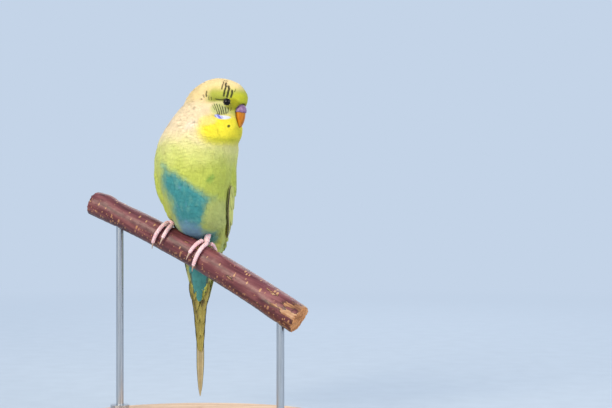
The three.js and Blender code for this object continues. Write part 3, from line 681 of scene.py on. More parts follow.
# %% [markdown]
# ## Plumage material
#
# A contour feather is made of keratin barbs that lie side by side. They scatter light softly, so
# the surface is rough with a faint sheen, and fine streaks run along each feather. The ground
# colour comes from the attribute that the markings write; the streaks read the feather's own map,
# in which one unit across is its width. Real barbs are finer than would show, so nine streaks are
# drawn across a small feather. Light and dark patches about 4 mm wide lie over them.


# %% Plumage material
def plumage_finish(name, streaks, strength):
    made, add, feed = finish_of(
        name, Roughness=0.8, Sheen_Weight=0.12, Sheen_Roughness=0.45, Specular_IOR_Level=0.15
    )
    lane = add("UVMap", uv_map="Vane")
    stretched = add("Mapping", {0: lane, "Scale": (streaks, streaks * 0.14, 1)})
    barbs = add("TexNoise", {"Vector": stretched, "Scale": 1, "Detail": 2})
    cloud = add("TexNoise", {"Vector": add("TexCoord", out="Object"), "Scale": 260, "Detail": 2})
    light = add("ValToRGB", {0: barbs}, stops=[(0.25, "#B4B4B4"), (0.75, "#FFFFFF")])
    patchy = add("ValToRGB", {0: cloud}, stops=[(0.3, "#DCDCDC"), (0.7, "#FFFFFF")])
    ground = add("Attribute", out="Color", attribute_name="plumage")
    shaded = add("Mix", {0: strength, 6: ground, 7: light}, **MULTIPLY)
    feed(Base_Color=add("Mix", {0: 0.5, 6: shaded, 7: patchy}, **MULTIPLY))
    feed(Normal=add("Bump", {"Height": barbs, "Distance": 0.06 * MM}))
    return made


plumage = plumage_finish("keratin_contour_feathers", 9.0, 0.38)
print(plumage.name)

# %% [markdown]
# ## The skin
#
# The skin is seen only where feathers part. It is the form drawn in along its normals, less on the
# face, where the coat is thin. It is unwrapped once, and that map says where each feather's own
# patch of colour belongs.

# %% Skin
# How far the skin lies below the roots of the feathers, in millimetres
BELOW_ROOTS = 0.25


def coat_depth(points):
    """How deep the coat is at points of the bird's frame, in millimetres."""
    away = from_bill(points)
    return 0.2 + 0.2 * smooth(4, 9, away) + 1.0 * smooth(6, 30, away)


def write_colours(mesh, values):
    """Writes colours for each point as the attribute that the material reads."""
    layer = mesh.color_attributes.new("plumage", "FLOAT_COLOR", "POINT")
    flat = np.ones((len(values), 4), np.float32)
    flat[:, :3] = np.clip(values, 0, 1)
    layer.data.foreach_set("color", flat.ravel())


skin = linked("skin", form.data.copy())
drawn_in = form_bird - form_normals * (coat_depth(form_bird) + BELOW_ROOTS)[:, None]
# Towards the tail it narrows, so that it stays inside the coverts
along, out = (drawn_in - TAIL_ROOT) @ TAIL_WAY, (drawn_in - TAIL_ROOT) @ TAIL_BACK
room = np.maximum(sleeve_form(along)[1] * (1 - 0.5 * smooth(0, 14, along)) - 0.9, 0.15)
drawn_in += ((np.clip(out, -room, room) - out) * smooth(-8, -2, along))[:, None] * TAIL_BACK
move_points(skin.data, to_world(drawn_in))
# The skin has the plumage's colours made darker, as painted shade where it shows between feathers
write_colours(skin.data, marked(form_bird, body_colours(form_bird)) * 0.9)
edit_all(skin, bpy.ops.uv.smart_project, angle_limit=math.radians(70), island_margin=0.004)
skin.data.uv_layers[0].name = "OFBake"
skin.data.uv_layers.new(name="Vane")
skin_uv = read(skin.data.uv_layers["OFBake"].data, "uv", 2)
skin_loops = triangles_of(skin.data, "loops")
ready(skin, plumage, "plumage", "head", "neck", "torso")

# %% [markdown]
# ## Where the feathers grow
#
# Feathers are set over the whole form at a spacing that grows from the bill down to the belly.
# Points are drawn at random by area, and a point is kept only if no kept one is nearer than the
# spacing there. The draws are seeded, so every run gives the same bird.

# %% Places for roots
draw = np.random.default_rng(7)
CANDIDATES = 260000


def normals_at(faces, weights):
    """Smooth normals at places that share the three corners of a triangle by weight."""
    corners = form_triangles[faces]
    return unit(sum(form_normals[corners[:, k]] * weights[:, k:k + 1] for k in range(3)))


def surface_at(points):
    """The nearest places on the form, with smooth normals, for points in metres."""
    places, faces = np.empty((len(points), 3)), np.empty(len(points), np.int64)
    for i, point in enumerate(points):
        places[i], _, faces[i], _ = form_tree.find_nearest(point)
    a, b, c = (form_points[form_triangles[faces, k]] for k in range(3))
    whole = np.cross(b - a, c - a)
    area = np.maximum(np.sum(whole * whole, axis=1), 1e-24)
    first = np.sum(np.cross(c - b, places - b) * whole, axis=1) / area
    second = np.sum(np.cross(a - c, places - c) * whole, axis=1) / area
    weights = np.clip(np.stack([first, second, 1 - first - second], axis=1), 0, 1)
    return places, normals_at(faces, weights)


def scattered(count):
    """Random places on the form, spread evenly by area."""
    a, b, c = (form_points[form_triangles[:, k]] for k in range(3))
    areas = np.linalg.norm(np.cross(b - a, c - a), axis=1)
    faces = draw.choice(len(areas), count, p=areas / areas.sum())
    u, v = draw.random((2, count))
    flip = u + v > 1
    u[flip], v[flip] = 1 - u[flip], 1 - v[flip]
    weights = np.stack([1 - u - v, u, v], axis=1)
    points = a[faces] * weights[:, :1] + b[faces] * weights[:, 1:2] + c[faces] * weights[:, 2:]
    return points, normals_at(faces, weights), faces, weights


def spaced(points, spacing):
    """Which of the points are kept so that none is nearer to another than its spacing."""
    kept, chosen = {}, []
    cells = np.floor(points / spacing.max()).astype(int)
    steps = [(a, b, c) for a in (-1, 0, 1) for b in (-1, 0, 1) for c in (-1, 0, 1)]
    rows = zip(points.tolist(), cells.tolist(), (spacing ** 2).tolist())
    for i, ((x, y, z), (column, row, layer), near) in enumerate(rows):
        around = (
            other for a, b, c in steps for other in kept.get((column + a, row + b, layer + c), ())
        )
        if all((u - x) ** 2 + (v - y) ** 2 + (w - z) ** 2 >= near for u, v, w in around):
            kept.setdefault((column, row, layer), []).append((x, y, z))
            chosen.append(i)
    return np.array(chosen)


print("up to", CANDIDATES, "places will be tried")

# %% [markdown]
# ## Roots that stay clear
#
# Feathers are short round the bill and eye and longest on the belly. No root is kept on the bill,
# under a wing or below the trunk, and the eye keeps a clear rim of bare lid.


# %% Roots of the contour feathers
# Roots lie this share of a feather's length apart at the bill, and that much closer on the trunk
SPACING, CLOSER = 0.23, 0.065
# How far a root stays off the bill and the eyes, and the height where the trunk's coat ends
OFF_BILL, OFF_EYE, COAT_END = 0.02, 1.95, -13


def feather_length(points):
    """The length of a contour feather at points of the bird's frame, in millimetres."""
    away = from_bill(points)
    length = 1.5 + 1.4 * smooth(3, 15, away) + 3.2 * smooth(15, 42, away)
    length += 1.1 * smooth(38, 20, points[:, 2])
    f, r, h = to_head(points).T
    fine = smooth(9.5, 6.5, np.hypot(f - 5.2, h)) * smooth(3, 5, r)
    return length + (1.55 - length) * fine * (h > -14)


bill = copy_of("bill", "cere", "upper_bill", "lower_bill")
bill_tree = tree_of(points_of(bill.data), triangles_of(bill.data))
bpy.data.objects.remove(bill)
picked = scattered(CANDIDATES)
places = to_bird(picked[0])
closer = CLOSER * smooth(14, 34, from_bill(places))
chosen = spaced(picked[0] / MM, feather_length(places) * (SPACING - closer))
roots, root_normals, root_faces, root_weights = (values[chosen] for values in picked)
roots_bird = to_bird(roots)
bill_gap = np.array([bill_tree.find_nearest(root)[3] for root in roots]) / MM
clear = (bill_gap > OFF_BILL) & ~on_wing(roots_bird) & (roots_bird[:, 2] > COAT_END)
# A feather that points at an eye starts further off, so that its tip stays clear of the lid
flow = lie(roots_bird, root_normals)
for side in (1, -1):
    to_eye = from_head(EYE[0], EYE[1] * side, EYE[2]) - roots_bird
    gap = np.linalg.norm(to_eye, axis=1)
    clear &= gap > OFF_EYE + np.maximum(np.sum(flow * to_eye, axis=1) / gap, 0)
roots, root_normals, root_faces, root_weights, roots_bird = (
    values[clear] for values in (roots, root_normals, root_faces, root_weights, roots_bird)
)
print(len(chosen), "places,", len(roots), "of them clear of eyes, bill and wings")

# %% [markdown]
# ## One feather, made many times
#
# A contour feather is a thin curved vane whose free end splits into tufts of barbs. It is made once
# as a closed sheet: rows of points from root to tip, thicker in the middle, with a fringe of small
# wedges at the end. Each copy is bent over the form: every point is moved to the nearest place on
# the form and lifted by an amount that grows from root to tip, so each feather lies over the next.


# %% The pattern of a feather
def closed_sheet(grid):
    """Points and triangles of a thin closed sheet over rows of places (across, along).

    The rim's points serve both faces; any other comes twice, with 1 or -1 as its side.
    """
    rows, columns = len(grid) - 1, len(grid[0]) - 1
    points, index, faces = [], {}, []
    for j, row in enumerate(grid):
        for i, (u, v) in enumerate(row):
            inner = 0 < i < columns and 0 < j < rows
            for side in (1, -1):
                index[j, i, side] = len(points) if side > 0 or inner else index[j, i, 1]
                if side > 0 or inner:
                    points.append((u, v, side if inner else 0))
    for side in (1, -1):
        for j in range(rows):
            for i in range(columns):
                corners = (j, i), (j, i + 1), (j + 1, i + 1), (j + 1, i)
                a, b, c, d = (index[(*corner, side)] for corner in corners)
                # At a corner of the sheet the cut has to meet the one point off the rim
                turned = (i == 0 and j > 0) or (i == columns - 1 and j == 0)
                pair = [(a, b, d), (b, c, d)] if turned else [(a, b, c), (a, c, d)]
                faces += pair if side > 0 else [face[::-1] for face in pair]
    return points, faces, index


def feather_pattern(lanes, rows):
    """Points (across, along, side) and triangles of one closed feather with a fringed end."""
    def end(u):
        return 0.84 - 0.34 * u * u

    across = np.linspace(-1, 1, lanes + 1)
    grid = [[(u, end(u) * j / rows) for u in across] for j in range(rows + 1)]
    points, faces, index = closed_sheet(grid)
    # Wedges of barbs in two lengths make the fringe
    for i in range(lanes):
        u, tip = (across[i] + across[i + 1]) / 2, len(points)
        v = end(u) + (0.16 if i % 2 else 0.11)
        points += [(u, v, 0.5), (u, v, -0.5)]
        a, b = index[rows, i, 1], index[rows, i + 1, 1]
        faces += [(a, b, tip), (b, a, tip + 1), (a, tip, tip + 1), (b, tip + 1, tip)]
    return np.array(points), np.array(faces)


def mesh_piece(name, points, faces, normals, colours, patch_uv, vane_uv):
    """A piece from arrays: its points in metres, triangles, shading normals, colours and maps."""
    mesh = bpy.data.meshes.new(name)
    mesh.vertices.add(len(points))
    mesh.vertices.foreach_set("co", points.astype(np.float32).ravel())
    mesh.loops.add(len(faces) * 3)
    mesh.loops.foreach_set("vertex_index", faces.astype(np.int32).ravel())
    mesh.polygons.add(len(faces))
    mesh.polygons.foreach_set("loop_start", np.arange(0, len(faces) * 3, 3, dtype=np.int32))
    mesh.update(calc_edges=True)
    for label, values in (("OFBake", patch_uv), ("Vane", vane_uv)):
        layer = mesh.uv_layers.new(name=label)
        layer.data.foreach_set("uv", values[faces.ravel()].astype(np.float32).ravel())
    write_colours(mesh, colours)
    mesh.polygons.foreach_set("use_smooth", np.ones(len(faces), bool))
    mesh.normals_split_custom_set_from_vertices(normals.astype(np.float32))
    return linked(name, mesh)


print("patterns can be cut")

# %% [markdown]
# ## Laying the coat
#
# The coat is made in a few pieces, each well under the size that an export thins. The head's
# feathers are the smallest and have few lanes; the body's are larger and have a finer fringe.

# %% Contour feathers
# Of a feather: half its width as a share of its length, half its thickness, how far its edges
# curve down, and the size of its patch on the map
HALF_WIDTH, THICKNESS, CUPPED, PATCH = 0.30, 0.05, 0.07, 0.003
# How far from the bill the face and the head end, the heights of the neck and of the belly's top,
# and how far back the back starts
FACE_END, HEAD_END, NECK, BELLY_TOP, BACK_START = 17, 32, 50, 42, 4


def lay_coat(name, which, lanes, rows):
    """One piece of the coat from the roots that are picked."""
    pattern, faces = feather_pattern(lanes, rows)
    count, size = int(which.sum()), len(pattern)
    root, normal, place = roots[which], root_normals[which], roots_bird[which]
    length = feather_length(place) * draw.uniform(0.86, 1.16, count)
    half = length * HALF_WIDTH * draw.uniform(0.88, 1.15, count)
    forward = lie(place, normal)
    turn = draw.normal(0, 0.13, count)[:, None]
    forward = unit(forward + np.cross(forward, normal) * turn)
    sideways = unit(np.cross(forward, normal))
    u, v, side = (np.tile(pattern[:, k], count) for k in range(3))
    each = np.repeat(np.arange(count), size)
    _, same = np.unique(np.round(pattern[:, :2], 5), axis=0, return_inverse=True)
    ragged = draw.normal(1, 0.03, (count, same.max() + 1))[:, same.ravel()].ravel()
    reach = (v * np.where(v > 0.5, ragged, 1) * length[each])[:, None] * MM
    # Each vane is narrow at its root and widest half way
    spread = (u * (0.42 + 0.58 * smooth(0.0, 0.5, v)) * half[each])[:, None] * MM
    ground, up = surface_at(root[each] + forward[each] * reach + sideways[each] * spread)
    tip = draw.uniform(0.0, 0.07, count)[each]
    height = -(coat_depth(place)[each] * 1.3 + 0.05) * (1 - v) ** 2.1 + tip * v
    height += side * THICKNESS - CUPPED * (u ** 2) * v * half[each]
    points = ground + up * height[:, None] * MM
    shading = unit(up + forward[each] * (0.05 * v)[:, None] + sideways[each] * (u * 0.07)[:, None])
    shading = np.where(side[:, None] < -0.7, -shading, shading)
    # Half of a feather's colour is its own, from its middle, and half is that of where it lies
    tint = draw.normal(1.0, 0.035, (count, 1)) * (1 + draw.normal(0, 0.012, (count, 3)))
    middle, _ = surface_at(root + forward * (length * 0.6)[:, None] * MM)
    base = (body_colours(to_bird(middle)) * tint)[each]
    base = base * 0.5 + body_colours(to_bird(points)) * 0.5
    # Darker to the root: partly the feather's own tone, partly painted shade under those over it
    base = base * (0.94 + 0.07 * smooth(0.15, 0.9, v))[:, None]
    colours = marked(to_bird(points), base)
    corner_uv = skin_uv[skin_loops[root_faces[which]]]
    centre = np.sum(corner_uv * root_weights[which][:, :, None], axis=1)[each]
    patch = centre + np.stack([u * PATCH / 2, (v - 0.5) * PATCH], axis=1)
    vane = np.stack([u * 0.5 + each * 0.37 % 13.0, v + each * 0.61 % 11.0], axis=1)
    triangles = (faces[None] + (np.arange(count) * size)[:, None, None]).reshape(-1, 3)
    ready(mesh_piece(name, points, triangles, shading, colours, patch, vane), plumage, "plumage")


bill_distance = from_bill(roots_bird)
on_face = bill_distance < FACE_END
on_head = ~on_face & (bill_distance < HEAD_END) & (roots_bird[:, 2] > NECK)
on_body = ~on_face & ~on_head
on_right = -(roots_bird - HEAD_CENTRE) @ np.array([-TURN_SIN, TURN_COS, 0]) > 0
behind = roots_bird[:, 1] > BACK_START
upper = roots_bird[:, 2] > BELLY_TOP
for name, which, lanes, rows in (
    ("coat_face_right", on_face & on_right, 4, 3), ("coat_face_left", on_face & ~on_right, 4, 3),
    ("coat_head", on_head, 5, 2), ("coat_breast", on_body & ~behind & upper, 7, 3),
    ("coat_belly", on_body & ~behind & ~upper, 7, 3), ("coat_back", on_body & behind, 7, 3),
):
    lay_coat(name, which, lanes, rows)
bpy.data.objects.remove(form)

# %% [markdown]
# ## Larger feathers
#
# A wing or tail feather has a stiff shaft with a vane on each side. It could be cut from a flat
# plane, but a closed sheet keeps its thickness from every side. So a pattern is made with lanes
# across, two of them close together for the shaft, and rows that gather at the round tip. Each
# feather is that pattern laid on the wing or tail.


# %% The pattern of a large feather
def vane_pattern(lanes, rows, rounded, shaft=0.0):
    """Points (across, along, side) and triangles of a closed vane with a round end."""
    left = np.linspace(-1, shaft - 0.07, lanes // 2 + 1)
    right = np.linspace(shaft + 0.07, 1, lanes - lanes // 2 + 1)
    bend = np.linspace(0, math.pi / 2, 5)[1:]
    straight = np.linspace(0, 1 - rounded, rows + 1)
    along = np.concatenate([straight, 1 - rounded * (1 - np.sin(bend))])
    width = np.concatenate([0.7 + 0.3 * smooth(0, 0.3, straight), np.maximum(np.cos(bend), 0.05)])
    points, faces, _ = closed_sheet([
        [(u * w + shaft * (1 - w), v) for u in (*left, *right)] for v, w in zip(along, width)
    ])
    return np.array(points, float), np.array(faces)


def lay_vanes(name, feathers, cells, mirrored=False):
    """One piece of large feathers; each gives its pattern, its shape and its colours."""
    parts, start = [], 0
    for number, ((grid, faces), shape, colour) in enumerate(feathers):
        faces = faces[:, ::-1] if mirrored else faces
        u, v, side = grid.T
        points, normals, lane = shape(u, v, side)
        column, row = number % cells, number // cells
        cell = np.stack([(column + 0.5 + 0.40 * u) / cells, (row + 0.05 + 0.9 * v) / cells], axis=1)
        shading = np.where(side[:, None] < 0, -normals, normals)
        parts.append((points, faces + start, shading, colour(u, v), cell, lane + number * 3.7))
        start += len(points)
    points, *rest = (np.concatenate(values) for values in zip(*parts))
    return mesh_piece(name, to_world(points), *rest)


def lane_of(u, barb):
    """The streaks' own map: one for each 0.4 mm, coarser than real barbs so that they show."""
    return np.stack([barb * 2.6, u * 1.2], axis=1)


def tinted(code, count, share=0.04):
    """A colour for many points, a little lighter or darker as one."""
    return np.tile(np.array(linear(code)) * draw.normal(1.0, share), (count, 1))


vane_finish = plumage_finish("keratin_flight_feathers", 1.0, 0.45)
print("vanes can be laid")

# %% [markdown]
# ## Wings
#
# A folded wing wraps the body from the flank to the back. From the shoulder down it has rows of
# small coverts, two rows of larger ones, then the secondaries and below them the long primaries,
# whose tips cross over the tail. On this pied bird most of them are yellow, and about one in four
# keeps the dark centre and pale rim of the wild pattern.


# %% The shape of a wing feather
def section_shape(place, side, size):
    """The shape of a feather whose place(u, v) gives heights, angles round the body and lifts."""

    def shape(u, v, face):
        z, angle, lift = place(u, v)
        points = on_section(z, angle, lift + 0.14 * face - 0.10 * u * u)
        step = on_section(z, angle + side, lift) - on_section(z, angle - side, lift)
        down = on_section(z - 0.5, angle, lift) - on_section(z + 0.5, angle, lift)
        normals = unit(np.cross(down, step)) * -side
        barb = v * size - np.abs(u) * size * 0.15
        return points, unit(normals + unit(step) * (0.2 * u)[:, None]), lane_of(u, barb)

    return shape


def wing_vane(side, root, tip, centre, half, sink, rise, tilt, reach=1.0):
    """A wing feather; centre and half width are shares of the wing's width."""

    def place(u, v):
        z = root + (tip - root) * v
        outer, inner = wing_edges(z)
        # The left wing shows wider on the flank and narrower above it
        if side > 0:
            outer = outer + 14 * smooth(8, 22, z) * smooth(40, 34.5, z) - 8 * smooth(35, 43, z)
        share = np.clip(centre(z) - u * half(z), -0.01, reach)
        lift = wing_depth(z)[0] - sink * (1 - v) + rise * v + tilt * u
        lift = lift - (0.9 + 0.7 * smooth(34, 40, z)) * smooth(0.2, 0.0, share)
        return z, side * (outer + (inner - outer) * share), lift

    return section_shape(place, side, root - tip)


def mantle_vane(root, tip, angle, half):
    """A feather of the mantle, between the wings; its edges lie over theirs."""

    def place(u, v):
        z = root + (tip - root) * v
        turned = angle + u * half
        over = smooth(-7, 3, np.abs(turned) - wing_back(z)[0])
        lift = 0.15 + wing_depth(z)[0] * over - 0.9 * (1 - v) + 0.35 * v - 0.1 * u * u
        return z, turned, lift

    return section_shape(place, 1, root - tip)


print("shape ready")

# %% [markdown]
# ## The colours of wing feathers
#
# Each feather is pale or dark. A pale one is yellow with a slightly deeper shaft. A dark one has a
# blackish centre inside a yellow rim, and a few are crossed by one or two dark bars.


# %% Feather colours on the wing
def wing_colours(kind, ground="#DEDF6E", rim="#EFEE9C"):
    """A colour function for one wing feather."""

    def colour(u, v):
        edge = np.maximum(smooth(0.55, 0.95, np.abs(u)), smooth(0.86, 0.99, v))
        colours = paint(tinted(ground, len(u)), (edge * 0.8, rim))
        if kind == "dark":
            within = smooth(1.0, 0.78, np.hypot(u * 1.05, (v - 0.5) / 0.44))
            colours = paint(colours, (within * 0.92, "#2F2F2A"))
        if kind == "barred":
            curved = v + 0.10 * u * u
            band = np.maximum(
                smooth(0.09, 0.03, np.abs(curved - 0.80)), smooth(0.07, 0.02, np.abs(curved - 0.56))
            )
            colours = paint(colours, (band * smooth(1.0, 0.7, np.abs(u)) * 0.85, "#3A3A30"))
        if kind == "edged":
            outer = smooth(0.66, 0.86, u) * smooth(0.99, 0.9, v)
            colours = paint(colours, (outer * 0.9, "#4A3B2A"))
        shaft = smooth(0.12, 0.06, np.abs(u - (0.25 if kind == "edged" else 0)))
        colours = paint(colours, (shaft * 0.35, "#8F8440"))
        # Darker to the root: partly the feather's own tone, partly painted shade under the next row
        return colours * (0.82 + 0.18 * smooth(0.0, 0.5, v))[:, None]

    return colour


def kind_of(chance):
    value = draw.random()
    return "dark" if value < chance else "barred" if value < chance * 1.6 else "pale"


print("pale, dark, barred and edged feathers")

# %% [markdown]
# ## Laying the wing
#
# The primaries go down first and the smallest coverts last. Within a row each feather's outer edge
# lies over the next, so that the wing sheds rain, and each row's tips cover the roots below.

# %% Both wings
FLIGHT = vane_pattern(6, 18, 0.10, 0.25)
GREATER = vane_pattern(8, 10, 0.30)
LESSER = vane_pattern(6, 7, 0.45)
# Rows of coverts: how many, their root's height, the height of the outer and inner tips, and the
# share of dark feathers
COVERT_ROWS = [
    (11, 35, 15.5, 19.5, 0.30), (11, 42, 24, 27, 0.35), (11, 47, 31, 33.5, 0.35),
    (10, 51, 37, 39, 0.3), (10, 54, 42, 43.5, 0.25), (9, 56.5, 46.5, 47.5, 0.2),
    (8, 58.5, 50.5, 51.5, 0.1),
]
# As shares of the wing's width: how far in the outer coverts are plain, where the outermost
# primary and the innermost secondary lie, and the first secondary's step from the primaries
PLAIN, OUTERMOST, INNERMOST, STEP = 0.27, 0.035, 1.02, 0.09
PRIMARIES, SECONDARIES = 8, 8
DARK_RIM_AND_GAP_SHADE = "#54452E"


def flight_split(z):
    """Where the primaries end and the secondaries start, as a share of the wing's width."""
    return 0.47 + 0.50 * smooth(0, 17, 14 - z)


def primary_tip(t):
    """The height of the tip of a primary, from the outer edge (0) to the inner one (1)."""
    outer, inner, longest = -11, -15, -29
    straight = outer + (inner - outer) * t
    return straight + (longest - straight) * math.sin(math.pi * t ** 0.8) ** 0.8


def constant(value):
    return lambda z: np.full(np.shape(z), value)


def wing_feathers(side):
    feathers = []
    for i in range(PRIMARIES):
        centre = (lambda z, i=i: OUTERMOST + (flight_split(z) - OUTERMOST) * i / (PRIMARIES - 1))
        half = (lambda z: 0.10 * (flight_split(z) - OUTERMOST) + 0.010)
        tip = primary_tip(i / (PRIMARIES - 1))
        shape = wing_vane(side, 26, tip, centre, half, 0.5, 0.0, 0.30)
        kind = "edged" if i in (0, 1, 3, 6) else "pale"
        feathers.append((FLIGHT, shape, wing_colours(kind, "#DEDF78", "#EFEDA0")))
    for i in range(SECONDARIES):
        centre = (lambda z, i=i: flight_split(z) + STEP + (
            (INNERMOST - flight_split(z) - STEP) * i / (SECONDARIES - 1)
        ))
        half = (lambda z: 0.115 * (1 - flight_split(z)) + 0.030)
        tip = -5 + 13 * i / (SECONDARIES - 1)
        shape = wing_vane(side, 31, tip, centre, half, 0.4, 0.25 + 0.05 * i, 0.26, 1.13)
        feathers.append((FLIGHT, shape, wing_colours(("pale", "edged", "dark", "pale")[i % 4])))
    for count, root, outer, inner, dark in COVERT_ROWS:
        for i in range(count):
            tip = outer + (inner - outer) * i / (count - 1) + draw.normal(0, 0.3)
            share = (i + 0.55) / (count + 0.1)
            width = constant(0.64 / count)
            shape = wing_vane(side, root, tip, constant(share), width, 0.75, 0.22, 0.14)
            look = ("pale", "#CFD16C", "#D4D679") if share < PLAIN else (kind_of(dark),)
            feathers.append((GREATER if root < 48 else LESSER, shape, wing_colours(*look)))
    # A dark feather down the outer edge of the left wing makes a dark line there: partly the wing's
    # dark rim, partly painted shade in the gap between flank and wing
    if side > 0:
        shape = wing_vane(side, 37, 7, constant(0.004), constant(0.013), -0.3, 0.3, 0.0)
        feathers.append((FLIGHT, shape, wing_colours("pale", DARK_RIM_AND_GAP_SHADE, DARK_RIM_AND_GAP_SHADE)))
    return feathers


for name, side in (("right_wing", -1), ("left_wing", 1)):
    piece = lay_vanes("feathers_of_" + name, wing_feathers(side), 10, mirrored=side < 0)
    ready(piece, vane_finish, "flight_feathers", name)

# %% [markdown]
# ## Mantle
#
# Between the wings the back is covered by larger rounded feathers that close over the wings' inner
# edges. They are laid in rows from the rump up to the nape, a few of them with a dark centre.

# %% Mantle feathers
# Rows from the rump upwards: how many, their root's height, their tip's height, and how far round
MANTLE_ROWS = [
    (3, 30, 18, 12), (4, 35, 23.5, 17), (5, 40, 29, 22), (5, 45, 34, 26), (6, 50, 39, 31),
    (6, 54.5, 44, 35), (7, 58.5, 48.5, 38),
]
mantle = []
for count, root, tip, span in MANTLE_ROWS:
    step = span / (count - 1)
    for i in range(count):
        angle = span * (2 * i / (count - 1) - 1) + draw.normal(0, 0.28 * step)
        tip_height = tip + draw.normal(0, 0.8)
        shape = mantle_vane(root, tip_height, angle, 1.35 * step * draw.uniform(0.9, 1.15))
        mantle.append((GREATER, shape, wing_colours(kind_of(0.2), "#DEDC70", "#EDE9A4")))
ready(lay_vanes("feathers_of_mantle", mantle, 8), vane_finish, "plumage")

# %% [markdown]
# ## Tail
#
# A budgerigar's tail has twelve feathers. The middle pair is by far the longest, and each pair
# outwards is shorter and lies under the last. The camera sees the tail's under side, so the stepped
# ends of the short pairs show, and the coverts under the tail's root lie over them.

# %% Tail feathers
# From the middle pair outwards: where each ends, its width, and how much further the right one goes
TAIL_PAIRS = [
    (65.7, 3.3, -2.6), (38.5, 4.0, 0.6), (30.0, 4.4, -0.8), (21.5, 4.4, 0.7), (13.5, 4.2, -0.6),
    (7.0, 4.0, 0.4),
]
# Along the tail, and its width
tail_form = profile([(0, 10.5), (9, 7.8), (22, 5.6), (40, 4.4), (60, 3.9), (65.7, 3.0)])
# How far a root goes in under the coverts, in millimetres
HIDDEN_ROOT = 6


def rectrix(place, side):
    """The shape and colours of one of a pair of tail feathers, the middle pair being 0."""
    tip, wide, uneven = TAIL_PAIRS[place]
    end = tip + side * uneven / 2 - abs(uneven / 2)

    def way(u, v):
        """How far down the tail, half its width there, and how far out from its middle."""
        s = -HIDDEN_ROOT + (end + HIDDEN_ROOT) * v
        room = tail_form(np.maximum(s, 0))[0] / 2
        half = np.minimum(wide / 2, room * 0.85) * (1 - 0.45 * smooth(0.70, 1.0, v))
        return s, room, (room - half) * place / 5 + 0.25 * half + u * half

    def shape(u, v, face):
        s, _, across = way(u, v)
        level = 0.42 * (1.2 - place) + 0.26 * face - 0.32 * across - 0.10 * u * u
        normals = unit(TAIL_BACK + np.outer(side * (0.15 + 0.25 * u), [1, 0, 0]))
        return on_tail(s, side * across, level), normals, lane_of(u, s - np.abs(u) * wide * 0.7)

    def colour(u, v):
        s, room, across = way(u, v)
        colours = tinted("#AFA65C" if place else "#C6BD9A", len(u), 0.03)
        colours = paint(colours, (smooth(0.5, 0.95, np.abs(u)) * 0.5, "#C2BA66"))
        if place == 0:
            colours = paint(colours, (smooth(40, 20, s) * 0.6, "#A89E58"))
        elif side < 0:
            off = np.abs(room - across - 0.5 - 0.1 * (s - 4))
            streak = smooth(0.5, 0.2, off) * smooth(1, 4, s) * smooth(20, 17, s)
            colours = paint(colours, (streak * 0.85, "#4B4335"))
        else:
            off = np.abs(across - 1.2) - 1.5 * smooth(12.5, 6.5, s)
            streak = smooth(0.2, -0.3, off) * smooth(5.5, 7, s) * smooth(12.5, 11, s)
            colours = paint(colours, (streak * 0.8, "#5A4B38"))
        if place > 1:
            colours = paint(colours, (smooth(0.3, 0.6, u) * smooth(0.99, 0.92, v) * 0.3, "#5A5038"))
        if place == 1:
            colours = paint(colours, (smooth(0.5, 0.9, u) * smooth(0.97, 0.8, v) * 0.45, "#6A5B40"))
        return paint(colours, (smooth(0.13, 0.07, np.abs(u)) * 0.4, "#8C7B45"))

    return shape, colour


grid, faces = vane_pattern(6, 24, 0.12)
tail_feathers = [
    ((grid, faces if side > 0 else faces[:, ::-1]), *rectrix(place, side))
    for place in range(6) for side in (-1, 1)
]
ready(lay_vanes("feathers_of_tail", tail_feathers, 4), vane_finish, "tail_feathers", "tail")

# %% [markdown]
# ## Coverts of the tail
#
# Soft coverts close the gap between the body and the tail all round. They are laid on a sleeve that
# narrows from the body's end to the tail, from the lowest row up: turquoise below, greener above,
# and furthest down the middle of the back.


# %% Tail coverts
def on_sleeve(s, angle, lift):
    """A point round the tail's root: angle 0 is over the tail, 180 under it."""
    across, deep = sleeve_form(s)
    turn = np.radians(angle)
    deep = deep * (1 - 0.5 * smooth(0, 14, s) * smooth(0.0, 0.6, np.cos(turn)))
    return on_tail(s, (across + lift) * np.sin(turn), (deep + lift) * np.cos(turn))


def tail_covert(root, tip, angle, half, code):
    """The shape and colours of a covert on the tail's root, half its width in millimetres."""

    def way(u, v):
        s = root + (tip - root) * v
        return s, angle + np.degrees(u * half / (sleeve_form(s)[0] + 0.5))

    def shape(u, v, side):
        s, turned = way(u, v)
        lift = -1.1 * (1 - v) ** 1.5 + 0.22 * v - 0.12 * u * u
        points = on_sleeve(s, turned, lift + 0.08 * side)
        step = on_sleeve(s, turned + 1, lift) - on_sleeve(s, turned - 1, lift)
        down = on_sleeve(s + 0.5, turned, lift) - on_sleeve(s - 0.5, turned, lift)
        normals = unit(unit(np.cross(step, down)) + unit(step) * (0.15 * u)[:, None])
        return points, normals, lane_of(u, s - np.abs(u) * half)

    def colour(u, v):
        s, turned = way(u, v)
        turn = np.radians(turned)
        under, beside = smooth(0.3, 0.0, np.cos(turn)), np.abs(np.sin(turn))
        dark = smooth(0.12, 0.05, np.abs(beside - 0.70)) * under * smooth(-12, -8, s)
        colours = paint(
            tinted(code, len(u), 0.05),
            (under * smooth(0.70, 0.80, beside), "#B3B464"),
            (dark * 0.8, "#55503C"),
        )
        # Darker to the root: partly its own tone, partly painted shade under the coverts over it
        return colours * (0.9 + 0.1 * smooth(0, 0.6, v))[:, None]

    return shape, colour


# Each row: how many, and its tips under the tail, at its sides and over it
COVERT_RINGS = [
    (8, 7.0, -1.0, 15.0), (9, 4.5, -3.0, 12.0), (10, 2.5, -4.5, 9.0), (11, 0.5, -6.0, 6.0),
    (11, -1.5, -7.0, 4.0), (11, -3.5, -8.0, 1.5), (12, -6.0, -9.0, -2.0), (12, -8.5, -10.5, -5.5),
]
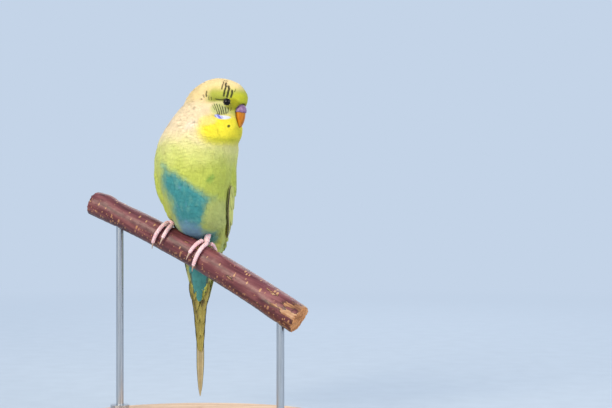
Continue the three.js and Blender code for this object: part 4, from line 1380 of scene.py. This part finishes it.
# A covert's root lies this far above its row's tips; each row is a little wider than the last
COVERT_LENGTH, COVERT_HALF, WIDER = 9.5, 1.9, 0.05
COVERT = vane_pattern(4, 6, 0.35)
coverts = []
for level, (count, under, beside, over) in enumerate(COVERT_RINGS):
    for i in range(count):
        angle = 360 * (i + 0.5 * (level % 2)) / count + draw.normal(0, 3)
        rise = math.cos(math.radians(angle))
        tip = beside + (over - beside) * max(rise, 0) ** 2 + (under - beside) * max(-rise, 0) ** 2
        code = "#4E9694"
        if rise > 0.2:
            code = ("#A9C06A", "#BCC86A", "#93B878")[int(draw.integers(3))]
        end = tip + draw.normal(0, 0.4)
        half = COVERT_HALF + WIDER * level
        coverts.append((COVERT, *tail_covert(tip - COVERT_LENGTH, end, angle, half, code)))
piece = lay_vanes("feathers_of_tail_coverts", coverts, 10)
ready(piece, vane_finish, "plumage", "undertail_coverts", "uppertail_coverts")

# %% [markdown]
# ## Eyes and lids
#
# A pied budgerigar has a solid dark eye with no pale ring. A ball is enough for its shape, but its
# finish matters: the clear cornea over a nearly black iris gives one small bright highlight. The
# lid is a soft ring of bare skin: a torus, flattened against the eye and pinched into fine folds.

# %% Eyes
# Spots of 0.7 mm in the iris, which hardly show, and wrinkles of 0.4 mm in the lid
eye_finish = grained(
    "wet_cornea_over_dark_iris", 1400, [(0.3, "#050404"), (0.7, "#0E0907")],
    Roughness=0.08, IOR=1.38, Coat_Weight=0.12, Coat_Roughness=0.02, Specular_IOR_Level=0.2,
)
lid_finish = grained(
    "bare_eyelid_skin", 2600, [(0.3, "#1B1914"), (0.7, "#34322A")], 0.05, 3,
    Roughness=0.6, Subsurface_Weight=0.1,
)
BALL_RADIUS, BALL_DEPTH = 2.5, 1.80
LID_RADIUS, LID_THICKNESS, LID_DEPTH = 1.75, 0.27, 0.05


def set_in(piece, centre, way):
    """Turns a piece made round the origin to face a direction, moves it there and smooths it."""
    turn = way.to_track_quat("Z", "Y").to_matrix().to_4x4()
    piece.data.transform(Matrix.Translation(centre) @ turn)
    only(piece)
    bpy.ops.object.shade_smooth()


for name, side in (("right_eye", 1), ("left_eye", -1)):
    way = Vector(from_head(0.42, 0.9 * side, 0.05) - HEAD_CENTRE).normalized()
    surface = Vector(to_world(from_head(EYE[0], EYE[1] * side, EYE[2])))
    ball = primitive(
        "uv_sphere", name + "_ball", segments=64, ring_count=40, radius=BALL_RADIUS * MM
    )
    set_in(ball, surface - way * BALL_DEPTH * MM, way)
    ready(ball, eye_finish, "eye", name)
    lid = primitive(
        "torus", name + "_lid", major_segments=96, minor_segments=18,
        major_radius=LID_RADIUS * MM, minor_radius=LID_THICKNESS * MM,
    )
    # Folded round the rim, lower outside, and a little longer than high
    for vertex in lid.data.vertices:
        angle = math.atan2(vertex.co.y, vertex.co.x)
        fold = 1 + 0.10 * math.sin(17 * angle) + 0.07 * math.sin(29 * angle + 1)
        outside = max(math.hypot(vertex.co.x, vertex.co.y) - LID_RADIUS * MM, 0)
        vertex.co.z = vertex.co.z * fold * 0.8 - outside * 0.5
        vertex.co.y *= 0.94
    set_in(lid, surface - way * LID_DEPTH * MM, way)
    ready(lid, lid_finish, "eye")

# %% [markdown]
# ## Cere and bill
#
# The cere is waxy bare skin round the nostrils, lilac on this bird. The bill is a horn of layered
# keratin, glossy orange and a little darker at its edges. Both have the right shape in the solids,
# so their copies are only remeshed finely and smoothed, which rounds the facets away.

# %% Cere and bill
# Spots of 1.4 mm on the wax, and layers of 1.1 by 6 mm in the horn, coarser than real ones so that
# they show
cere_finish = grained(
    "waxy_cere_skin", 700, [(0.3, "#745279"), (0.7, "#98779C")], 0.08, 4, Roughness=0.42,
    Subsurface_Weight=0.25, Subsurface_Radius=(0.002, 0.001, 0.001), Subsurface_Scale=0.5,
)
bill_finish = grained(
    "layered_horn", 1, [(0.3, "#A55A02"), (0.55, "#BE7406"), (0.8, "#CC8A10")], 0.03, 3,
    (900, 900, 160), Roughness=0.32, Specular_IOR_Level=0.35, Subsurface_Weight=0.15,
    Subsurface_Radius=(0.003, 0.0012, 0.0005), Subsurface_Scale=0.6,
)
# The cere reaches lower over the bill than its solid, and sits a little deeper
CERE_LONGER, CERE_LOWER = 1.27, 0.2

for name, material in (
    ("cere", cere_finish), ("upper_bill", bill_finish), ("lower_bill", bill_finish),
):
    piece = remeshed(copy_of("smooth_" + name, name), 0.13, smooth_steps=4)
    if name == "cere":
        top = max(vertex.co.z for vertex in piece.data.vertices)
        for vertex in piece.data.vertices:
            vertex.co.z = top - (top - vertex.co.z) * CERE_LONGER - CERE_LOWER * MM
    ready(piece, material, name.split("_")[-1], name)

# %% [markdown]
# ## Feet
#
# The bird holds the branch with two toes forward and two back. Each leg and its toes are joined as
# one skin, so that no seam shows at the knuckles, and the skin's fine scales are drawn as cells.

# %% Legs and toes
# Scales of 0.7 mm, as on the real toes, over soft patches of 3 mm, and patches of 2 mm on the claws
foot_finish, add, feed = finish_of(
    "scaled_foot_skin", Roughness=0.55, Subsurface_Weight=0.2,
    Subsurface_Radius=(0.003, 0.001, 0.001), Subsurface_Scale=0.5,
)
place = add("TexCoord", out="Object")
scales = add("TexVoronoi", {"Vector": place, "Scale": 1500}, feature="DISTANCE_TO_EDGE")
cloud = add("TexNoise", {"Vector": place, "Scale": 300})
pink = add("ValToRGB", {0: cloud}, stops=[(0.3, "#F0C4CA"), (0.7, "#FBDEE0")])
creases = add("ValToRGB", {0: scales}, stops=[(0.02, "#D3A5A6"), (0.12, "#FFFFFF")])
raised = add("ValToRGB", {0: scales}, stops=[(0.0, "#000000"), (0.15, "#FFFFFF")])
feed(Base_Color=add("Mix", {0: 0.6, 6: pink, 7: creases}, **MULTIPLY))
feed(Normal=add("Bump", {"Height": raised, "Distance": 0.08 * MM}))
claw_finish = grained("claw_horn", 500, [(0.3, "#A98A76"), (0.7, "#CBB19C")], Roughness=0.35)
PAD_RADIUS = 0.95


def claw_root(claw, toe):
    """Where a claw leaves its toe."""
    claw, toe = points_of(claw.data), points_of(toe.data)
    gaps = np.linalg.norm(claw[:, None] - toe[None], axis=2).min(axis=1)
    return claw[gaps < gaps.min() + 0.5 * MM].mean(axis=0)


for side in ("left", "right"):
    toes = [f"{side}_toe_{i}" for i in (1, 2, 3, 4)]
    names = [side + "_leg", side + "_foot", *toes]
    piece = copy_of(side + "_foot_skin", *names)
    for toe in toes:
        claw = nodes[toe.replace("toe", "claw")]
        where = claw_root(claw, nodes[toe])
        pad = primitive("ico_sphere", "pad", subdivisions=3, radius=PAD_RADIUS * MM, location=where)
        only(piece, pad)
        bpy.ops.object.join()
        claw.data.materials.clear()
        claw.data.materials.append(claw_finish)
    remeshed(piece, 0.22, smooth_steps=4, grow_mm=0.05)
    ready(piece, foot_finish, "foot_skin", *names)

# %% [markdown]
# ## The bark
#
# A branch that birds have used for a while is worn smooth: reddish bark with pale flecks, many more
# and smaller ones on its lower side, with painted shade that darkens its underside and lightens its
# top. Near the cut end on the right it is torn off in strips, and the tan fibres show. A pattern
# that follows the branch needs places that are turned in line with it first.

# %% Finishes of the branch
# Fibres of 2 by 17 mm, coarser than real ones so that they show, under worn patches of 18 mm
bark_finish, add, feed = finish_of("worn_smooth_bark", Roughness=0.4, Specular_IOR_Level=0.4)
place = add("TexCoord", out="Object")
turned = add("Mapping", {0: place, "Rotation": (0, 0, math.radians(22))})
lined_up = add("Mapping", {0: turned, "Rotation": (0, math.radians(-26.8), 0)})
fibre_way = add("Mapping", {0: lined_up, "Scale": (60, 520, 520)})
fibre = add("TexNoise", {"Vector": fibre_way, "Scale": 1, "Detail": 6})
cloud = add("TexNoise", {"Vector": lined_up, "Scale": 55, "Detail": 4})
bark = add("ValToRGB", {0: fibre}, stops=[(0.3, "#4A1E26"), (0.5, "#713D43"), (0.7, "#8E5A5A")])
worn = add("ValToRGB", {0: cloud}, stops=[(0.35, "#D2B2A8"), (0.5, "#FFFFFF"), (0.7, "#F1E4E4")])
bark = add("Mix", {0: 0.4, 6: bark, 7: worn}, **MULTIPLY)
upward = add("SeparateXYZ", {0: add("NewGeometry", out="Normal")}, 2)
# In a MapRange node, inputs 1 and 2 bound the values read, and 3 and 4 the values given
lower = add("MapRange", {0: upward, 1: 0.35, 2: -0.35})
# Flecks, one in a cell of 1.6 by 2.9 mm or of 1 by 1.6 mm: how closely the cells lie, how many are
# left out, how large the flecks are, their colour and where they lie
for close, left_out, large, code, where in (
    ((620, 340, 340), 0.62, 0.42, "#B98E66", 1.0), ((1000, 640, 640), 0.45, 0.45, "#C0956A", lower)
):
    fleck = {"Vector": add("Mapping", {0: lined_up, "Scale": close}), "Scale": 1}
    chance = add("SeparateColor", {0: add("TexVoronoi", fleck, "Color")})
    reach = add("MapRange", {0: chance, 1: left_out, 2: 1.0, 3: 0.0, 4: large})
    reach = add("Math", {0: reach, 1: where}, operation="MULTIPLY")
    near = add("Math", {0: add("TexVoronoi", fleck, "Distance"), 1: reach}, operation="LESS_THAN")
    bark = add("Mix", {0: near, 6: bark, 7: code}, **MIX)
# Strips of torn bark, 2.4 by 9 mm
strips_way = add("Mapping", {0: lined_up, "Scale": (110, 420, 420)})
strips = add("TexNoise", {"Vector": strips_way, "Scale": 1, "Detail": 3})
along_branch = add("SeparateXYZ", {0: lined_up})
to_end = add("MapRange", {0: along_branch, 1: 0.002, 2: 0.027, 3: 0.30, 4: 0.54})
tan = add("ValToRGB", {0: fibre}, stops=[(0.36, "#5E3826"), (0.5, "#A0714C"), (0.66, "#C9A27A")])
# First a little wider in the dark colour of the torn rim, then the fibres inside it
for wider, colour in ((-0.035, "#4A2A22"), (0.0, tan)):
    torn = add("Math", {0: strips, 1: wider}, operation="ADD")
    torn = add("Math", {0: torn, 1: to_end}, operation="LESS_THAN")
    bark = add("Mix", {0: torn, 6: bark, 7: colour}, **MIX)
# Painted shade and light: faces that look down are made darker, and faces that look up lighter
level = add("MapRange", {0: upward, 1: -1.0, 2: 1.0})
painted_shade_by_facing = add("ValToRGB", {0: level}, stops=[(0.12, "#8A6A5A"), (0.42, "#DCC0B6"), (0.8, "#FFFFFF")])
feed(Base_Color=add("Mix", {0: 0.7, 6: bark, 7: painted_shade_by_facing}, **MULTIPLY))
feed(Normal=add("Bump", {"Height": fibre, "Distance": 0.10 * MM}))

# Splintered ends of fibres, 1.7 mm wide, in patches of 6 mm
wood_finish, add, feed = finish_of("torn_end_grain", Roughness=0.85)
place = add("TexCoord", out="Object")
fibres = add("TexNoise", {"Vector": place, "Scale": 600, "Detail": 5})
cloud = add("TexNoise", {"Vector": place, "Scale": 160, "Detail": 3})
orange = add("ValToRGB", {0: cloud}, stops=[(0.3, "#A0663A"), (0.55, "#DC985E"), (0.8, "#EBC090")])
dark = add("ValToRGB", {0: fibres}, stops=[(0.3, "#6B4028"), (0.6, "#FFFFFF")])
feed(Base_Color=add("Mix", {0: 0.6, 6: orange, 7: dark}, **MULTIPLY))
feed(Normal=add("Bump", {"Height": fibres, "Distance": 0.4 * MM}))
print(bark_finish.name, wood_finish.name)

# %% [markdown]
# ## The branch
#
# The solid has the branch's bends, knots and cut ends. Its copy is remeshed finely, and its points
# are moved along their normals by noise, in long soft swellings and small wrinkles, with rougher
# fibres where it was cut.

# %% Branch
BRANCH_WAY = np.array([[1.0, -0.404, -0.545]])
# How nearly a face looks along the branch where it is rough and where it is bare wood, and how
# far along its cut ends lie
ROUGH, BARE, LEFT_END, RIGHT_END = 0.7, 0.75, -55, 50
branch = remeshed(copy_of("bark_of_branch", "perch"), 0.8, smooth_steps=4)
points, normals = points_of(branch.data), points_of(branch.data, "normal")
axis = unit(BRANCH_WAY)[0]
offset = to_bird(points)
along = offset @ axis


def swelling(x, y, z, along_scale, across_scale):
    return noise.noise(Vector((x * along_scale, y * across_scale, z * across_scale)))


for i, (x, y, z) in enumerate(offset):
    height = 0.16 * swelling(x, y, z, 0.05, 0.09) - 0.12
    height += 0.11 * swelling(along[i], y, z, 0.5, 0.35)
    height += 0.08 * swelling(along[i], y, z, 0.35, 1.3)
    if abs(normals[i] @ axis) > ROUGH:
        height += 0.5 * swelling(x, y, z, 0.8, 0.8)
    points[i] += normals[i] * height * MM
move_points(branch.data, points)
ready(branch, bark_finish, "branch", "perch")
branch.data.materials.append(wood_finish)
for polygon in branch.data.polygons:
    middle = along[polygon.vertices[0]]
    if abs(Vector(axis).dot(polygon.normal)) > BARE and not LEFT_END <= middle <= RIGHT_END:
        polygon.material_index = 1

# %% [markdown]
# ## The stand
#
# A museum stand stays plain: a beech slab and two brushed steel rods with collars. Its solids have
# the right shape already, with their own edges, so they only get their finishes. Oil gives the
# beech a soft gloss over straight pale grain with small dark flecks. Brushing leaves fine lines
# along the steel, which soften its highlights.

# %% Stand
# Bands of grain 8 mm wide and 80 mm long, and flecks of 0.4 by 4 mm, both as in real beech
beech, add, feed = finish_of("oiled_beech", Roughness=0.45)
place = add("TexCoord", out="Object")
stretched = add("Mapping", {0: place, "Scale": (12, 120, 120)})
grain = add("TexNoise", {"Vector": stretched, "Scale": 1, "Detail": 6})
fine = add("Mapping", {0: place, "Scale": (250, 2400, 2400)})
pores = add("TexNoise", {"Vector": fine, "Scale": 1})
wood = add("ValToRGB", {0: grain}, stops=[(0.3, "#C08F63"), (0.5, "#D9AF84"), (0.7, "#E6C49C")])
dark = add("ValToRGB", {0: pores}, stops=[(0.35, "#8A5F3C"), (0.5, "#FFFFFF")])
feed(Base_Color=add("Mix", {0: 0.35, 6: wood, 7: dark}, **MULTIPLY))
feed(Normal=add("Bump", {"Height": pores, "Distance": 0.05 * MM}))
# Lines 0.25 mm wide and 17 mm long, coarser than real ones so that they show
steel = grained(
    "brushed_steel", 1, [(0.3, "#A8ABAF"), (0.7, "#C9CCD0")], 0.02, stretch=(4000, 4000, 60),
    Metallic=1.0, Roughness=0.3,
)
for name, material in (
    ("stand_base", beech), ("stand_rod_left", steel), ("stand_rod_right", steel),
):
    nodes[name].data.materials.clear()
    nodes[name].data.materials.append(material)
    print(name, material.name)

# %% [markdown]
# ## Floor and light
#
# The bird is lit as in a bright room by a window: one broad soft light from the upper left, a
# weaker one from the right and a pale sky all round, so that shadows stay soft. The floor fades
# into the colour of the sky, so no edge shows behind the bird.

# %% Floor, lights and sky
# Matt paper has no gloss, only a faint mottling, here of 17 mm
SKY = "#C4D4E8"
floor = primitive("circle", "floor", vertices=96, radius=12, fill_type="NGON", location=(0, 0, 0))
floor_finish, add, feed = finish_of(
    "matt_pale_floor", Roughness=0.9, Emission_Strength=1.0, Specular_IOR_Level=0.0
)
place = add("TexCoord", out="Object")
grain = add("TexNoise", {"Vector": place, "Scale": 60, "Detail": 3})
# The floor starts to fade 0.25 m from its middle and has the sky's colour from 1.3 m
far = add("VectorMath", {0: place}, "Value", operation="LENGTH")
far = add("MapRange", {0: far, 1: 0.25, 2: 1.3}, interpolation_type="SMOOTHSTEP")
paper = add("ValToRGB", {0: grain}, stops=[(0.3, "#B9C4D0"), (0.7, "#BDC8D4")])
feed(Base_Color=add("Mix", {0: far, 6: paper, 7: "#000000"}, **MIX))
feed(Emission_Color=add("Mix", {0: far, 6: "#000000", 7: SKY}, **MIX))
floor.data.materials.append(floor_finish)

world = bpy.data.worlds.new("sky")
world.use_nodes = True
background = world.node_tree.nodes["Background"]
background.inputs[0].default_value = (*linear(SKY), 1)
background.inputs[1].default_value = 1.0
bpy.context.scene.world = world

LIT_POINT = Vector((0, 0, 120)) * MM
for name, place, size, power, code in (
    ("window", (-720, -1050, 780), 640, 17.0, "#FFF0D6"),
    ("fill", (900, -800, 640), 760, 8.6, "#FFF6EA"),
    ("behind", (180, 930, 720), 700, 3.4, "#FFF8F0"),
):
    lamp_data = bpy.data.lights.new(name, "AREA")
    lamp_data.size = size * MM
    lamp_data.energy = power
    lamp_data.color = linear(code)
    lamp = linked(name, lamp_data)
    lamp.location = Vector(place) * MM
    lamp.visible_camera = False
    lamp.rotation_euler = (LIT_POINT - lamp.location).to_track_quat("-Z", "Y").to_euler()
print("lights on")
